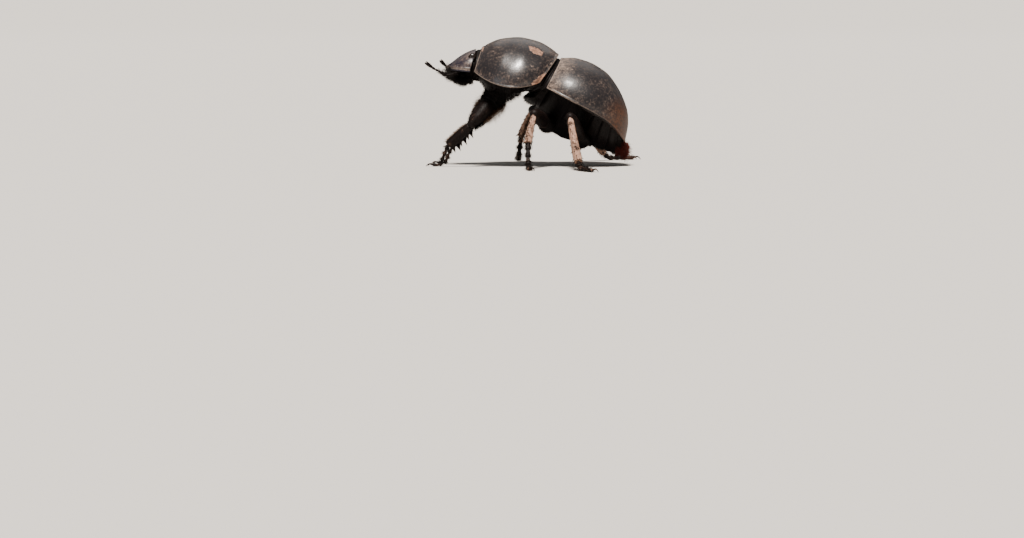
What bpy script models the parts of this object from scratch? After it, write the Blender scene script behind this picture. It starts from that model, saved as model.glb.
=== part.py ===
"""A life-size model of a flightless dung beetle, standing on six legs with its head to -X.

Run it with: blender --background --python part.py

The body is built plate by plate, as the animal is: a domed front shield, two fused wing cases, a shovel-shaped head,
the plates of the underside, and six legs of four pieces each. Each plate has its own frame, whose u axis runs
backwards along the body, v to the animal's right and w upwards. Lengths are in millimetres, and MM turns them into
metres. Neighbouring pieces keep GAP between them.
"""

import math

import bmesh
import bpy
from mathutils import Vector

MM = 0.001
GAP = 0.3

# ---------------------------------------------------------------------------------------------------------------------
# Driving dimensions
# ---------------------------------------------------------------------------------------------------------------------

# Front shield (pronotum). Its frame sits at the rear corners of the side margin.
SHIELD_PLACE = Vector((2.7, 0, 15.7))
SHIELD_PITCH = math.radians(8)
SHIELD_FRONT = -12.5
SHIELD_WIDTHS = ((0, 6.2), (0.15, 8.5), (0.35, 10.6), (0.62, 11.7), (0.85, 11.0), (1, 9.8))
SHIELD_CREST_CENTRE = -4.0
SHIELD_CREST_LENGTH = 10.0
SHIELD_CREST_HEIGHT = 8.1
SHIELD_TOP_FRONT = -11.7
SHIELD_TOP_REAR = 2.95
SHIELD_EDGE_LOW = -1.4
SHIELD_EDGE_LOW_AT = -6.0
SHIELD_EDGE_BEND = 0.045

# Wing cases (elytra). Their frame sits at the shoulders, on the side margin.
CASE_PLACE = Vector((4.0, 0, 15.0))
CASE_PITCH = math.radians(28)
CASE_LENGTH = 18.2
CASE_WIDEST_AT = 6.0
CASE_HALF_WIDTH = 11.9
CASE_CREST = ((0, 6.2), (2.9, 7.6), (6, 8.05), (8.5, 7.85), (11.7, 6.55), (15.5, 3.6), (17.1, 1.2), (18.2, -2.1))
CASE_EDGE = ((0, 0), (9, 0.1), (12, 0), (14.9, -0.6), (17.4, -1.9), (18.2, -2.3))

# Underside of the hind body, in the wing cases' frame: how far it hangs below their side margin.
BELLY_DEPTH = ((0, 4.4), (3.6, 6.9), (6.7, 6.9), (9.6, 6.3), (13, 5.2), (15.5, 3.8), (17.4, 1.9))
BREAST_END = 7.4
BELLY_END = 17.4
BELLY_INSET = 0.9
RING_STEP = 0.965
TAIL_HALF_WIDTH = 4.2
TAIL_LEAN = 0.5

# Head. Its frame sits on the cheeks' margin.
HEAD_PLACE = Vector((-9.6, 0, 18.3))
HEAD_PITCH = math.radians(5)
HEAD_FRONT = -4.8
HEAD_REAR = -0.78
HEAD_HALF_WIDTH = 5.5
HEAD_CREST = ((-4.8, 0.15), (-4.3, 0.95), (-3.8, 1.45), (-2.7, 2.4), (-1.2, 3.4), (0.1, 4.0))
HEAD_EDGE_THICKNESS = 0.5
NAPE_LENGTH = 0.5
CLYPEUS_TOOTH = 0.6
EYE_PLACE = Vector((-0.55, 4.0, 2.2))
EYE_RADII = Vector((0.72, 0.6, 0.9))

# Legs: hip, knee, ankle and the way of the foot, in the world frame, for the left side. v is mirrored for the right.
LEG_POSES = {
    "front_left": {
        "hip": (-5.6, -3.8, 13.2),
        "knee": (-10.0, -7.3, 8.2),
        "ankle": (-14.6, -5.3, 4.0),
        "foot": ((-15.4, -5.0, 2.1), (-16.2, -4.8, 0.36), (-17.4, -4.6, 0.24)),
    },
    "front_right": {
        "hip": (-5.6, 3.8, 13.2),
        "knee": (-9.6, 7.4, 8.1),
        "ankle": (-13.8, 5.5, 3.8),
        "foot": ((-14.6, 5.2, 2.0), (-15.4, 5.0, 0.36), (-16.6, 4.8, 0.24)),
    },
    "middle_left": {
        "hip": (4.2, -4.8, 8.1),
        "knee": (1.7, -12.3, 10.2),
        "ankle": (0.5, -17.2, 4.9),
        "foot": ((0.5, -18.9, 2.3), (0.6, -20.8, 0.45), (0.9, -23.2, 0.34)),
    },
    "middle_right": {
        "hip": (4.2, 4.8, 8.1),
        "knee": (1.5, 12.3, 10.2),
        "ankle": (-0.7, 17.0, 5.0),
        "foot": ((-1.0, 18.7, 2.3), (-1.2, 20.5, 0.45), (-1.3, 22.9, 0.34)),
    },
    "hind_left": {
        "hip": (10.6, -4.4, 5.2),
        "knee": (8.4, -12.8, 9.6),
        "ankle": (9.8, -22.0, 1.6),
        "foot": ((10.2, -23.8, 0.5), (10.9, -26.2, 0.45), (12.2, -28.9, 0.34)),
    },
    "hind_right": {
        "hip": (10.6, 4.4, 5.2),
        "knee": (9.4, 12.8, 9.4),
        "ankle": (15.4, 20.6, 1.6),
        "foot": ((16.7, 22.1, 0.5), (18.7, 23.8, 0.45), (21.4, 25.3, 0.34)),
    },
}
# Per pair of legs: radius of the hip, the thigh's half width and half depth, and the shank's half width and depth.
LEG_SIZES = {
    "front": {"hip": 2.15, "thigh": (1.75, 1.45), "shank": (1.0, 0.6)},
    "middle": {"hip": 1.75, "thigh": (1.5, 1.1), "shank": (0.68, 0.62)},
    "hind": {"hip": 1.85, "thigh": (1.75, 1.3), "shank": (0.86, 0.68)},
}
THIGH_GIRTH = ((0, 0.72), (0.12, 0.92), (0.42, 1), (0.75, 0.9), (1, 0.58))
SHANK_GIRTH = ((0, 0.55), (0.1, 0.8), (0.5, 0.95), (0.9, 1.12), (1, 0.98))
FRONT_SHANK_GIRTH = ((0, 0.62), (0.1, 0.78), (0.5, 0.9), (1, 0.84))
FRONT_SHANK_TEETH = (0.3, 0.62, 0.92)
FRONT_TOOTH_LENGTH = 1.15
KNEE_RADIUS = 0.85
FOOT_JOINTS = 5
FOOT_RADIUS = 0.46
CLAW_LENGTH = 1.25
CLAW_RADIUS = 0.26
SPUR_LENGTH = 1.9
SPUR_RADIUS = 0.27

# Feelers: the stem's way and then the club's, for each side, in the world frame.
FEELER_STEM_RADIUS = 0.28
FEELER_CLUB_RADIUS = 0.62
FEELERS = {
    "left": ((-12.6, -4.2, 17.15), (-14.6, -4.0, 17.25), (-16.5, -3.7, 18.1), (-17.5, -3.5, 18.65), (-18.9, -3.2, 19.7)),
    "right": ((-12.6, 4.2, 17.15), (-13.9, 4.0, 17.3), (-14.7, 3.7, 18.2), (-15.2, 3.5, 18.9), (-16.2, 3.2, 20.0)),
}
PALPS = {
    "left": ((-14.6, -1.5, 17.25), (-15.4, -1.7, 17.3), (-16.2, -1.6, 17.9)),
    "right": ((-14.6, 1.5, 17.25), (-15.2, 1.8, 17.2), (-15.9, 1.9, 17.7)),
}
PALP_RADIUS = 0.33

# Colour, roughness and metallic value of each finish.
FINISHES = {
    "shell": ((0.028, 0.026, 0.026), 0.38, 0.0),
    "underside": ((0.012, 0.009, 0.008), 0.5, 0.0),
    "leg": ((0.035, 0.024, 0.019), 0.5, 0.0),
    "feeler": ((0.03, 0.014, 0.008), 0.6, 0.0),
    "eye": ((0.02, 0.012, 0.008), 0.12, 0.0),
}


# ---------------------------------------------------------------------------------------------------------------------
# Tools
# ---------------------------------------------------------------------------------------------------------------------


def smooth(table, x):
    """The value at x on a smooth curve through the (x, value) pairs of table, with no overshoot between them."""
    xs = [pair[0] for pair in table]
    ys = [pair[1] for pair in table]
    if x <= xs[0]:
        return ys[0]
    if x >= xs[-1]:
        return ys[-1]
    slopes = [(b - a) / (q - p) for a, b, p, q in zip(ys, ys[1:], xs, xs[1:])]
    tangents = [slopes[0]]
    for left, right in zip(slopes, slopes[1:]):
        tangents.append(0.0 if left * right <= 0 else 2 * left * right / (left + right))
    tangents.append(slopes[-1])
    i = max(k for k in range(len(xs) - 1) if xs[k] <= x)
    step = xs[i + 1] - xs[i]
    t = (x - xs[i]) / step
    start = ys[i] * (2 * t**3 - 3 * t**2 + 1) + tangents[i] * step * (t**3 - 2 * t**2 + t)
    end = ys[i + 1] * (3 * t**2 - 2 * t**3) + tangents[i + 1] * step * (t**3 - t**2)
    return start + end


def lerp(a, b, t):
    return a + (b - a) * t


def finish(name):
    """The material of one finish, made once."""
    material = bpy.data.materials.get(name)
    if material is None:
        colour, roughness, metallic = FINISHES[name]
        material = bpy.data.materials.new(name)
        material.use_nodes = True
        material.diffuse_color = (*colour, 1)
        shader = material.node_tree.nodes["Principled BSDF"]
        shader.inputs["Base Color"].default_value = (*colour, 1)
        shader.inputs["Roughness"].default_value = roughness
        shader.inputs["Metallic"].default_value = metallic
    return material


def add_object(name, bm, finish_name=None, place=(0, 0, 0), pitch=0.0):
    """An object from a bmesh in millimetres, placed in the world. With no finish it is a cutter, which isn't shown."""
    bmesh.ops.scale(bm, vec=(MM, MM, MM), verts=bm.verts)
    bmesh.ops.recalc_face_normals(bm, faces=bm.faces)
    mesh = bpy.data.meshes.new(name)
    bm.to_mesh(mesh)
    bm.free()
    obj = bpy.data.objects.new(name, mesh)
    obj.location = Vector(place) * MM
    obj.rotation_euler = (0, pitch, 0)
    bpy.context.scene.collection.objects.link(obj)
    if finish_name is None:
        obj.hide_render = True
        obj.display_type = "WIRE"
    else:
        mesh.materials.append(finish(finish_name))
        mesh.shade_smooth()
        mesh.set_sharp_from_angle(angle=math.radians(40))
    return obj


def loft(bm, rings):
    """Adds a closed body through rings of points, with a flat cap at each end."""
    loops = [[bm.verts.new(point) for point in ring] for ring in rings]
    for near, far in zip(loops, loops[1:]):
        for i in range(len(near)):
            j = (i + 1) % len(near)
            bm.faces.new((near[i], near[j], far[j], far[i]))
    bm.faces.new(list(reversed(loops[0])))
    bm.faces.new(loops[-1])


def boolean(obj, cutter, operation):
    modifier = obj.modifiers.new(operation.lower(), "BOOLEAN")
    modifier.operation = operation
    modifier.object = cutter


def ball(bm, centre, radii, segments=12, rings=8):
    made = bmesh.ops.create_uvsphere(bm, u_segments=segments, v_segments=rings, radius=1)
    bmesh.ops.scale(bm, vec=radii, verts=made["verts"])
    bmesh.ops.translate(bm, vec=centre, verts=made["verts"])


def curve_points(way, count):
    """count points evenly spread along a smooth curve through the points of way."""
    way = [Vector(p) for p in way]
    reach = [0.0]
    for a, b in zip(way, way[1:]):
        reach.append(reach[-1] + (b - a).length)
    tables = [[(s, p[axis]) for s, p in zip(reach, way)] for axis in range(3)]
    stops = [reach[-1] * i / (count - 1) for i in range(count)]
    return [Vector([smooth(table, s) for table in tables]) for s in stops]


def rings_along(points, sizes, across, sides):
    """Oval rings square to a line of points. sizes holds the (half width, half depth) at each of them."""
    rings = []
    for i, (point, (width, depth)) in enumerate(zip(points, sizes)):
        way = (points[min(i + 1, len(points) - 1)] - points[max(i - 1, 0)]).normalized()
        side = (across - way * across.dot(way)).normalized()
        up = way.cross(side)
        turns = [2 * math.pi * k / sides for k in range(sides)]
        rings.append([point + side * (width * math.cos(a)) + up * (depth * math.sin(a)) for a in turns])
    return rings


def trim_below_floor(bm):
    """Cuts off what is under the floor, so that the foot stands on small flats at one level."""
    geometry = bm.verts[:] + bm.edges[:] + bm.faces[:]
    cut = bmesh.ops.bisect_plane(bm, geom=geometry, plane_co=(0, 0, 0), plane_no=(0, 0, -1), clear_outer=True)
    rim = [e for e in cut["geom_cut"] if isinstance(e, bmesh.types.BMEdge)]
    bmesh.ops.holes_fill(bm, edges=rim, sides=0)


# ---------------------------------------------------------------------------------------------------------------------
# Body plates
# ---------------------------------------------------------------------------------------------------------------------


def shield_width(s):
    return smooth(SHIELD_WIDTHS, s)


def shield_edge(u):
    return SHIELD_EDGE_LOW + SHIELD_EDGE_BEND * (u - SHIELD_EDGE_LOW_AT) ** 2


def shield_crest(u):
    return SHIELD_CREST_HEIGHT * math.sqrt(1 - ((u - SHIELD_CREST_CENTRE) / SHIELD_CREST_LENGTH) ** 2)


def shield_ring(s, arch_points=16, floor_points=5):
    """One cross-section of the front shield, s from 0 at the front margin to 1 at the rear one, which lean back."""
    edge_u = lerp(SHIELD_FRONT, 0, s)
    top_u = lerp(SHIELD_TOP_FRONT, SHIELD_TOP_REAR, s)
    edge = shield_edge(edge_u)
    rise = shield_crest(top_u) - edge
    ring = []
    for k in range(arch_points + 1):
        turn = math.pi * k / arch_points
        part = math.sin(turn)
        ring.append(Vector((lerp(edge_u, top_u, part), shield_width(s) * math.cos(turn), edge + rise * part)))
    for k in range(1, floor_points):
        across = lerp(-1, 1, k / floor_points)
        ring.append(Vector((edge_u, shield_width(s) * across, edge)))
    return ring


def build_shield():
    bm = bmesh.new()
    stops = [0.5 - 0.5 * math.cos(math.pi * i / 13) for i in range(14)]
    loft(bm, [shield_ring(s) for s in stops])
    add_object("pronotum", bm, "shell", SHIELD_PLACE, SHIELD_PITCH)


def build_chest():
    """The underside of the front body, which carries the front hips. Its rear face follows the front shield's."""
    depths = ((0.04, 0.4), (0.15, 0.8), (0.3, 1.8), (0.6, 2.3), (0.82, 1.2), (1, 0.7))
    lean = SHIELD_TOP_REAR / shield_crest(SHIELD_TOP_REAR)
    bm = bmesh.new()
    rings = []
    for i in range(9):
        s = lerp(0.04, 1, i / 8)
        edge_u = lerp(SHIELD_FRONT, 0, s)
        top = shield_edge(edge_u) - 1.5 * GAP
        half = shield_width(s) - 2.4
        depth = smooth(depths, s)
        ring = []
        for k in range(13):
            turn = -math.pi * k / 12
            w = top + depth * math.sin(turn)
            across = math.copysign(abs(math.cos(turn)) ** 0.7, math.cos(turn))
            ring.append(Vector((edge_u + lean * s * w, half * across, w)))
        for k in range(1, 5):
            ring.append(Vector((edge_u + lean * s * top, half * lerp(-1, 1, k / 5), top)))
        rings.append(ring)
    loft(bm, rings)
    return add_object("prosternum", bm, "underside", SHIELD_PLACE, SHIELD_PITCH)


def case_width(u):
    front = 1 - ((CASE_WIDEST_AT - u) / 10.0) ** 2 if u < CASE_WIDEST_AT else 1
    rear = 1 - ((u - CASE_WIDEST_AT) / (CASE_LENGTH - CASE_WIDEST_AT)) ** 2.2 if u > CASE_WIDEST_AT else 1
    return CASE_HALF_WIDTH * math.sqrt(max(front, 0)) * math.sqrt(max(rear, 0))


def case_stops(count, end=CASE_LENGTH):
    """Stations along the wing cases, closer together towards the round rear end."""
    return [end * math.sin(math.radians(88.5) * i / (count - 1)) for i in range(count)]


def build_wing_case(name, side):
    """One wing case, cut along the seam: side is -1 for the left one and 1 for the right one."""
    bm = bmesh.new()
    rings = []
    for u in case_stops(17):
        half = max(case_width(u), 0.6)
        edge = smooth(CASE_EDGE, u)
        rise = smooth(CASE_CREST, u) - edge
        ring = []
        for k in range(12):
            turn = math.pi / 2 * k / 11
            ring.append(Vector((u, side * lerp(GAP / 2, half, math.cos(turn)), edge + rise * math.sin(turn))))
        for k in range(3):
            ring.append(Vector((u, side * lerp(GAP / 2, half, k / 3), edge)))
        rings.append(ring)
    loft(bm, rings)
    add_object(name, bm, "shell", CASE_PLACE, CASE_PITCH)


def build_waist():
    """The narrow body ring seen in the cleft between shield and wing cases. Its breast swells forward below."""
    half, low, high = 8.2, -4.3, 3.4
    bm = bmesh.new()
    rings = []
    for part, inset in ((0, 1), (0.5, 1), (0.85, 0.95), (1, 0.8)):
        ring = []
        for k in range(22):
            turn = 2 * math.pi * k / 22
            w = inset * (high if math.sin(turn) > 0 else -low) * math.sin(turn)
            swell = smooth(((-4.2, 1.5), (-3.5, 1.35), (-2.5, 0)), w) * (1 - abs(math.cos(turn)) ** 4)
            front = -1.0 + 0.155 * w - swell
            ring.append(Vector((lerp(-GAP, front, part), half * inset * math.cos(turn), w)))
        rings.append(ring)
    loft(bm, rings)
    add_object("mesothorax", bm, "underside", CASE_PLACE, CASE_PITCH)


def belly_ring(u, keel, grow=1.0):
    """A cross-section of the hind body's underside. keel is 1 where its flanks leave room for the legs, 0 where full."""
    half = max(case_width(u) - BELLY_INSET, TAIL_HALF_WIDTH) * grow
    top = smooth(CASE_EDGE, u) - 1.4 * GAP
    depth = smooth(BELLY_DEPTH, u) * grow
    lean = smooth(((BREAST_END + 2, 0), (BELLY_END, TAIL_LEAN)), u)
    ring = []
    for k in range(15):
        across = math.cos(math.pi * k / 14)
        full = math.sqrt(max(1 - across**2, 0))
        cut_back = (1 - abs(across) ** 1.5) ** 1.9
        drop = depth * lerp(full, cut_back, keel)
        ring.append(Vector((u + lean * drop, half * across, top - drop)))
    for k in range(1, 5):
        ring.append(Vector((u, half * lerp(-1, 1, k / 5), top)))
    return ring


def build_breast():
    """The underside between the middle and hind hips."""
    bm = bmesh.new()
    loft(bm, [belly_ring(lerp(0, BREAST_END, i / 8), 1) for i in range(9)])
    return add_object("metasternum", bm, "underside", CASE_PLACE, CASE_PITCH)


def build_belly():
    """The abdomen: five overlapping rings, each standing a little proud of the next."""
    joints = [lerp(BREAST_END + GAP, BELLY_END, (i / 5) ** 0.9) for i in range(6)]
    bm = bmesh.new()
    rings = []
    for i, (start, end) in enumerate(zip(joints, joints[1:])):
        for part in (0.0, 0.5, 0.93):
            u = lerp(start, end, part)
            rings.append(belly_ring(u, max(0.0, 1 - (u - BREAST_END) / 5), RING_STEP if part == 0 and i > 0 else 1))
    loft(bm, rings)
    return add_object("abdomen", bm, "underside", CASE_PLACE, CASE_PITCH)


def build_tail_plate():
    """The last plate of the back (pygidium), a dome that closes the body under the tips of the wing cases."""
    bm = bmesh.new()
    rings = []
    for back, reach in ((0, 1), (0.35, 0.99), (0.65, 0.86), (0.85, 0.6), (0.92, 0.25)):
        u = BELLY_END + 1.5 * GAP + back
        top = CASE_EDGE[-1][1] - 1.6 * GAP - 0.15 * (1 - reach)
        depth = BELLY_DEPTH[-1][1] * 1.04
        ring = []
        for k in range(15):
            across = math.cos(math.pi * k / 14)
            drop = depth * reach * math.sin(math.pi * k / 14)
            ring.append(Vector((u + TAIL_LEAN * drop, TAIL_HALF_WIDTH * reach * across, top - drop)))
        for k in range(1, 5):
            ring.append(Vector((u, TAIL_HALF_WIDTH * reach * lerp(-1, 1, k / 5), top)))
        rings.append(ring)
    loft(bm, rings)
    add_object("pygidium", bm, "underside", CASE_PLACE, CASE_PITCH)


# ---------------------------------------------------------------------------------------------------------------------
# Head
# ---------------------------------------------------------------------------------------------------------------------


def head_lean(u, w):
    """How far a point moves back with its height, as the head's rear face leans."""
    return 0.2 * max(w, 0) * (u - HEAD_FRONT) / (HEAD_REAR - HEAD_FRONT)


def head_ring(s, scale=1.0, back=0.0):
    """One cross-section of the head shield, s from 0 at the front tip to 1 at the rear face."""
    u = lerp(HEAD_FRONT, HEAD_REAR, s)
    half = HEAD_HALF_WIDTH * (1 - (1 - s) ** 2.1) ** 0.5 * scale
    crest = smooth(HEAD_CREST, u + head_lean(u, 3.5)) * scale
    ring = []
    for k in range(15):
        turn = math.pi * k / 14
        w = crest * math.sin(turn) ** 0.85
        ring.append(Vector((u + back + head_lean(u, w), half * math.cos(turn), w)))
    for k in range(7):
        across = lerp(-1, 1, k / 6)
        ring.append(Vector((u + back, half * across, -HEAD_EDGE_THICKNESS * scale)))
    return ring


def build_head():
    bm = bmesh.new()
    stops = [0.004, 0.03, 0.08, 0.16, 0.28, 0.42, 0.58, 0.74, 0.88, 1]
    rings = [head_ring(s) for s in stops]
    rings.append(head_ring(1, 0.8))
    rings.append(head_ring(1, 0.77, NAPE_LENGTH))
    loft(bm, rings)
    head = add_object("head", bm, "shell", HEAD_PLACE, HEAD_PITCH)
    teeth = bmesh.new()
    for side in (-1, 1):
        ball(teeth, (HEAD_FRONT + 0.35, side * 1.0, 0.0), (CLYPEUS_TOOTH, 0.55, 0.32), 10, 7)
    boolean(head, add_object("cutter_clypeus_teeth", teeth, None, HEAD_PLACE, HEAD_PITCH), "UNION")
    for side, name in ((-1, "eye_left"), (1, "eye_right")):
        centre = Vector((EYE_PLACE.x, side * EYE_PLACE.y, EYE_PLACE.z))
        eye = bmesh.new()
        ball(eye, centre, EYE_RADII)
        add_object(name, eye, "eye", HEAD_PLACE, HEAD_PITCH)
        socket = bmesh.new()
        ball(socket, centre, EYE_RADII + Vector((GAP, GAP, GAP)))
        boolean(head, add_object("cutter_" + name, socket, None, HEAD_PLACE, HEAD_PITCH), "DIFFERENCE")


def build_mouth():
    """The lower lip and jaws, a rounded block under the head shield."""
    bm = bmesh.new()
    rings = []
    depths = ((-4.3, 0.5), (-3.3, 1.3), (-2.2, 1.75), (-1.1, 1.5))
    widths = ((-4.3, 1.5), (-3.3, 2.6), (-2.2, 3.1), (-1.1, 3.0))
    for i in range(8):
        u = lerp(-4.3, -1.1, i / 7)
        half = smooth(widths, u)
        depth = smooth(depths, u)
        middle = -HEAD_EDGE_THICKNESS - GAP - depth / 2
        ring = []
        for k in range(14):
            turn = 2 * math.pi * k / 14
            up = math.copysign(abs(math.sin(turn)) ** 0.7, math.sin(turn))
            ring.append(Vector((u, half * math.cos(turn), middle + depth / 2 * up)))
        rings.append(ring)
    loft(bm, rings)
    add_object("mouthparts", bm, "underside", HEAD_PLACE, HEAD_PITCH)
    for side, way in PALPS.items():
        bm = bmesh.new()
        points = curve_points(way, 7)
        girths = [smooth(((0, 0.75), (0.4, 0.8), (0.7, 1), (1, 0.75)), i / 6) for i in range(7)]
        loft(bm, rings_along(points, [(PALP_RADIUS * g, PALP_RADIUS * g) for g in girths], Vector((0, 1, 0)), 8))
        add_object("palp_" + side, bm, "feeler")


def build_feelers():
    """The feelers: a thin stem and a fat club of leaves, which are modelled as one."""
    for side, way in FEELERS.items():
        points = curve_points(way, 13)
        bm = bmesh.new()
        sizes = []
        for i in range(len(points)):
            club = smooth(((0, 0), (0.66, 0), (0.8, 0.9), (0.92, 1), (1, 0.45)), i / 12)
            radius = lerp(FEELER_STEM_RADIUS, FEELER_CLUB_RADIUS, club)
            sizes.append((radius, lerp(FEELER_STEM_RADIUS, FEELER_CLUB_RADIUS * 0.72, club)))
        loft(bm, rings_along(points, sizes, Vector((0, 1, 0)), 7))
        add_object("antenna_" + side, bm, "feeler")


# ---------------------------------------------------------------------------------------------------------------------
# Legs
# ---------------------------------------------------------------------------------------------------------------------


def leg_points(leg):
    pose = LEG_POSES[leg]
    return Vector(pose["hip"]), Vector(pose["knee"]), Vector(pose["ankle"]), [Vector(p) for p in pose["foot"]]


def thigh_rings(leg, extra=0.0, sides=9):
    """The thigh from the hip's surface to the round knee. extra fattens it, to make the cutter for its groove."""
    pair = leg.split("_")[0]
    hip, knee, ankle, _ = leg_points(leg)
    width, depth = LEG_SIZES[pair]["thigh"]
    way = (knee - hip).normalized()
    start = hip + way * (LEG_SIZES[pair]["hip"] + GAP - extra)
    across = way.cross(knee - ankle).cross(way)
    points = [start.lerp(knee, t) for t in (0, 0.06, 0.18, 0.35, 0.55, 0.75, 0.9, 1)]
    girths = [smooth(THIGH_GIRTH, t) for t in (0, 0.06, 0.18, 0.35, 0.55, 0.75, 0.9, 1)]
    sizes = [(width * g + extra, max(depth * g, KNEE_RADIUS * 0.8) + extra) for g in girths]
    for turn in (35, 65):
        radius = KNEE_RADIUS * math.cos(math.radians(turn))
        points.append(knee + way * ((KNEE_RADIUS + extra) * math.sin(math.radians(turn))))
        sizes.append((radius + extra, radius * 0.85 + extra))
    return rings_along(points, sizes, across, sides)


def shank_line(leg):
    """The shank's start, just clear of the knee, its end, and the way across its flat side."""
    hip, knee, ankle, _ = leg_points(leg)
    way = (ankle - knee).normalized()
    across = way.cross(knee - hip).cross(way).normalized()
    return knee + way * (KNEE_RADIUS + GAP), ankle, way, across


def build_thigh(leg):
    bm = bmesh.new()
    loft(bm, thigh_rings(leg))
    add_object("femur_" + leg, bm, "leg")


def build_front_shank(leg):
    """The digging shank: a flat blade that widens towards its end, with three teeth along its outer edge."""
    start, end, way, _ = shank_line(leg)
    across = way.cross(Vector((0, 1, 0))).normalized()
    if across.z > 0:
        across = -across
    width, depth = LEG_SIZES["front"]["shank"]
    stops = {0, 0.08, 0.45, 1}
    for tooth in FRONT_SHANK_TEETH:
        stops |= {tooth - 0.13, tooth, tooth + 0.05}
    rings = []
    for t in sorted(stops):
        girth = smooth(FRONT_SHANK_GIRTH, t)
        reach = max(smooth(((c - 0.13, 0), (c, 1), (c + 0.05, 0)), t) for c in FRONT_SHANK_TEETH)
        ring = []
        for k in range(8):
            turn = 2 * math.pi * k / 8
            out = width * girth * math.cos(turn) + FRONT_TOOTH_LENGTH * reach * max(math.cos(turn), 0) ** 6
            thick = depth * (1 - 0.25 * reach * max(math.cos(turn), 0))
            forward = 0.35 * reach * max(math.cos(turn), 0) ** 6
            ring.append(start.lerp(end, t) + way * forward + across * out
                        + way.cross(across) * (thick * math.sin(turn)))
        rings.append(ring)
    bm = bmesh.new()
    loft(bm, rings)
    add_object("tibia_" + leg, bm, "leg")


def build_shank(leg):
    """A walking shank: slender, widening to its end, a little bowed, with a spur beside the foot."""
    pair = leg.split("_")[0]
    start, end, way, across = shank_line(leg)
    width, depth = LEG_SIZES[pair]["shank"]
    bow = across * (0.55 if pair == "hind" else 0.25)
    stops = [i / 8 for i in range(9)]
    points = [start.lerp(end, t) + bow * math.sin(math.pi * t) for t in stops]
    sizes = [(width * smooth(SHANK_GIRTH, t), depth * smooth(SHANK_GIRTH, t)) for t in stops]
    bm = bmesh.new()
    loft(bm, rings_along(points, sizes, across, 9))
    shank = add_object("tibia_" + leg, bm, "leg")
    spur = bmesh.new()
    root = end - way * 0.5 + across * (width * 0.45)
    tip = end + (way * 0.75 + across * 0.95).normalized() * SPUR_LENGTH
    tip.z = max(tip.z, 0.35)
    spur_points = [root.lerp(tip, t) for t in (0, 0.35, 0.7, 1)]
    sizes = [(SPUR_RADIUS * g, SPUR_RADIUS * g) for g in (1.1, 1.1, 0.95, 0.5)]
    loft(spur, rings_along(spur_points, sizes, across, 6))
    boolean(shank, add_object("cutter_spur_" + leg, spur), "UNION")


def build_foot(leg):
    """The foot: five joints, each widening to its end, and a pair of claws. It stands on flats at the floor."""
    pair = leg.split("_")[0]
    _, knee, ankle, foot = leg_points(leg)
    way = (ankle - knee).normalized()
    begin = ankle + way * (GAP + 0.15)
    size = 0.8 if pair == "front" else 1.0
    points = curve_points([begin, *foot], 3 * FOOT_JOINTS + 1)
    sizes = []
    for i in range(len(points)):
        girth = (0.72, 0.95, 1.1)[i % 3] if i < len(points) - 1 else 0.75
        sizes.append((FOOT_RADIUS * size * girth * 1.1, FOOT_RADIUS * size * girth))
    bm = bmesh.new()
    level = Vector((0, 0, 1)).cross(points[-1] - points[0])
    loft(bm, rings_along(points, sizes, level, 6))
    trim_below_floor(bm)
    obj = add_object("tarsus_" + leg, bm, "leg")
    forward = (points[-1] - points[-3]).normalized()
    sideways = level.normalized()
    for side in (-1, 1):
        root = points[-1] - forward * 0.35 + sideways * (0.12 * side)
        middle = points[-1] + forward * (CLAW_LENGTH * 0.5) + sideways * (0.34 * side) + Vector((0, 0, 0.12))
        tip = points[-1] + forward * CLAW_LENGTH + sideways * (0.62 * side)
        claw_points = curve_points([root, middle, Vector((tip.x, tip.y, 0.2))], 4)
        sizes = [(CLAW_RADIUS * g, CLAW_RADIUS * g) for g in (1, 1.05, 0.95, 0.5)]
        one = bmesh.new()
        loft(one, rings_along(claw_points, sizes, sideways, 5))
        trim_below_floor(one)
        boolean(obj, add_object("cutter_claw_" + leg + ("_a" if side < 0 else "_b"), one), "UNION")


def build_hips(chest, breast, belly):
    """The six hips, each a ball set in a socket of the plate above it, and the grooves that the thighs lie in."""
    carriers = {"front": (chest,), "middle": (breast,), "hind": (breast, belly)}
    for leg in LEG_POSES:
        pair = leg.split("_")[0]
        hip = leg_points(leg)[0]
        radius = LEG_SIZES[pair]["hip"]
        bm = bmesh.new()
        ball(bm, hip, (radius, radius, radius))
        add_object("coxa_" + leg, bm, "underside")
        socket = bmesh.new()
        ball(socket, hip, (radius + GAP * 1.15,) * 3)
        socket_cutter = add_object("cutter_socket_" + leg, socket)
        groove = bmesh.new()
        loft(groove, thigh_rings(leg, GAP, 10))
        groove_cutter = add_object("cutter_groove_" + leg, groove)
        for plate in carriers[pair]:
            boolean(plate, socket_cutter, "DIFFERENCE")
            boolean(plate, groove_cutter, "DIFFERENCE")


def centre_over_origin():
    """Moves the whole part so that the middle of its footprint is the origin."""
    bpy.context.view_layer.update()
    graph = bpy.context.evaluated_depsgraph_get()
    low, high = Vector((1, 1, 1)), Vector((-1, -1, -1))
    for obj in bpy.data.objects:
        if obj.hide_render:
            continue
        for vertex in obj.evaluated_get(graph).data.vertices:
            point = obj.matrix_world @ vertex.co
            low = Vector(map(min, low, point))
            high = Vector(map(max, high, point))
    middle = (low + high) / 2
    for obj in bpy.data.objects:
        obj.location -= Vector((middle.x, middle.y, 0))


def main():
    for obj in list(bpy.data.objects):
        bpy.data.objects.remove(obj)
    build_shield()
    chest = build_chest()
    build_waist()
    build_wing_case("elytron_left", -1)
    build_wing_case("elytron_right", 1)
    breast = build_breast()
    belly = build_belly()
    build_tail_plate()
    build_head()
    build_mouth()
    build_feelers()
    build_hips(chest, breast, belly)
    for leg in LEG_POSES:
        build_thigh(leg)
        if leg.startswith("front"):
            build_front_shank(leg)
        else:
            build_shank(leg)
        build_foot(leg)
    centre_over_origin()


main()
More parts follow.
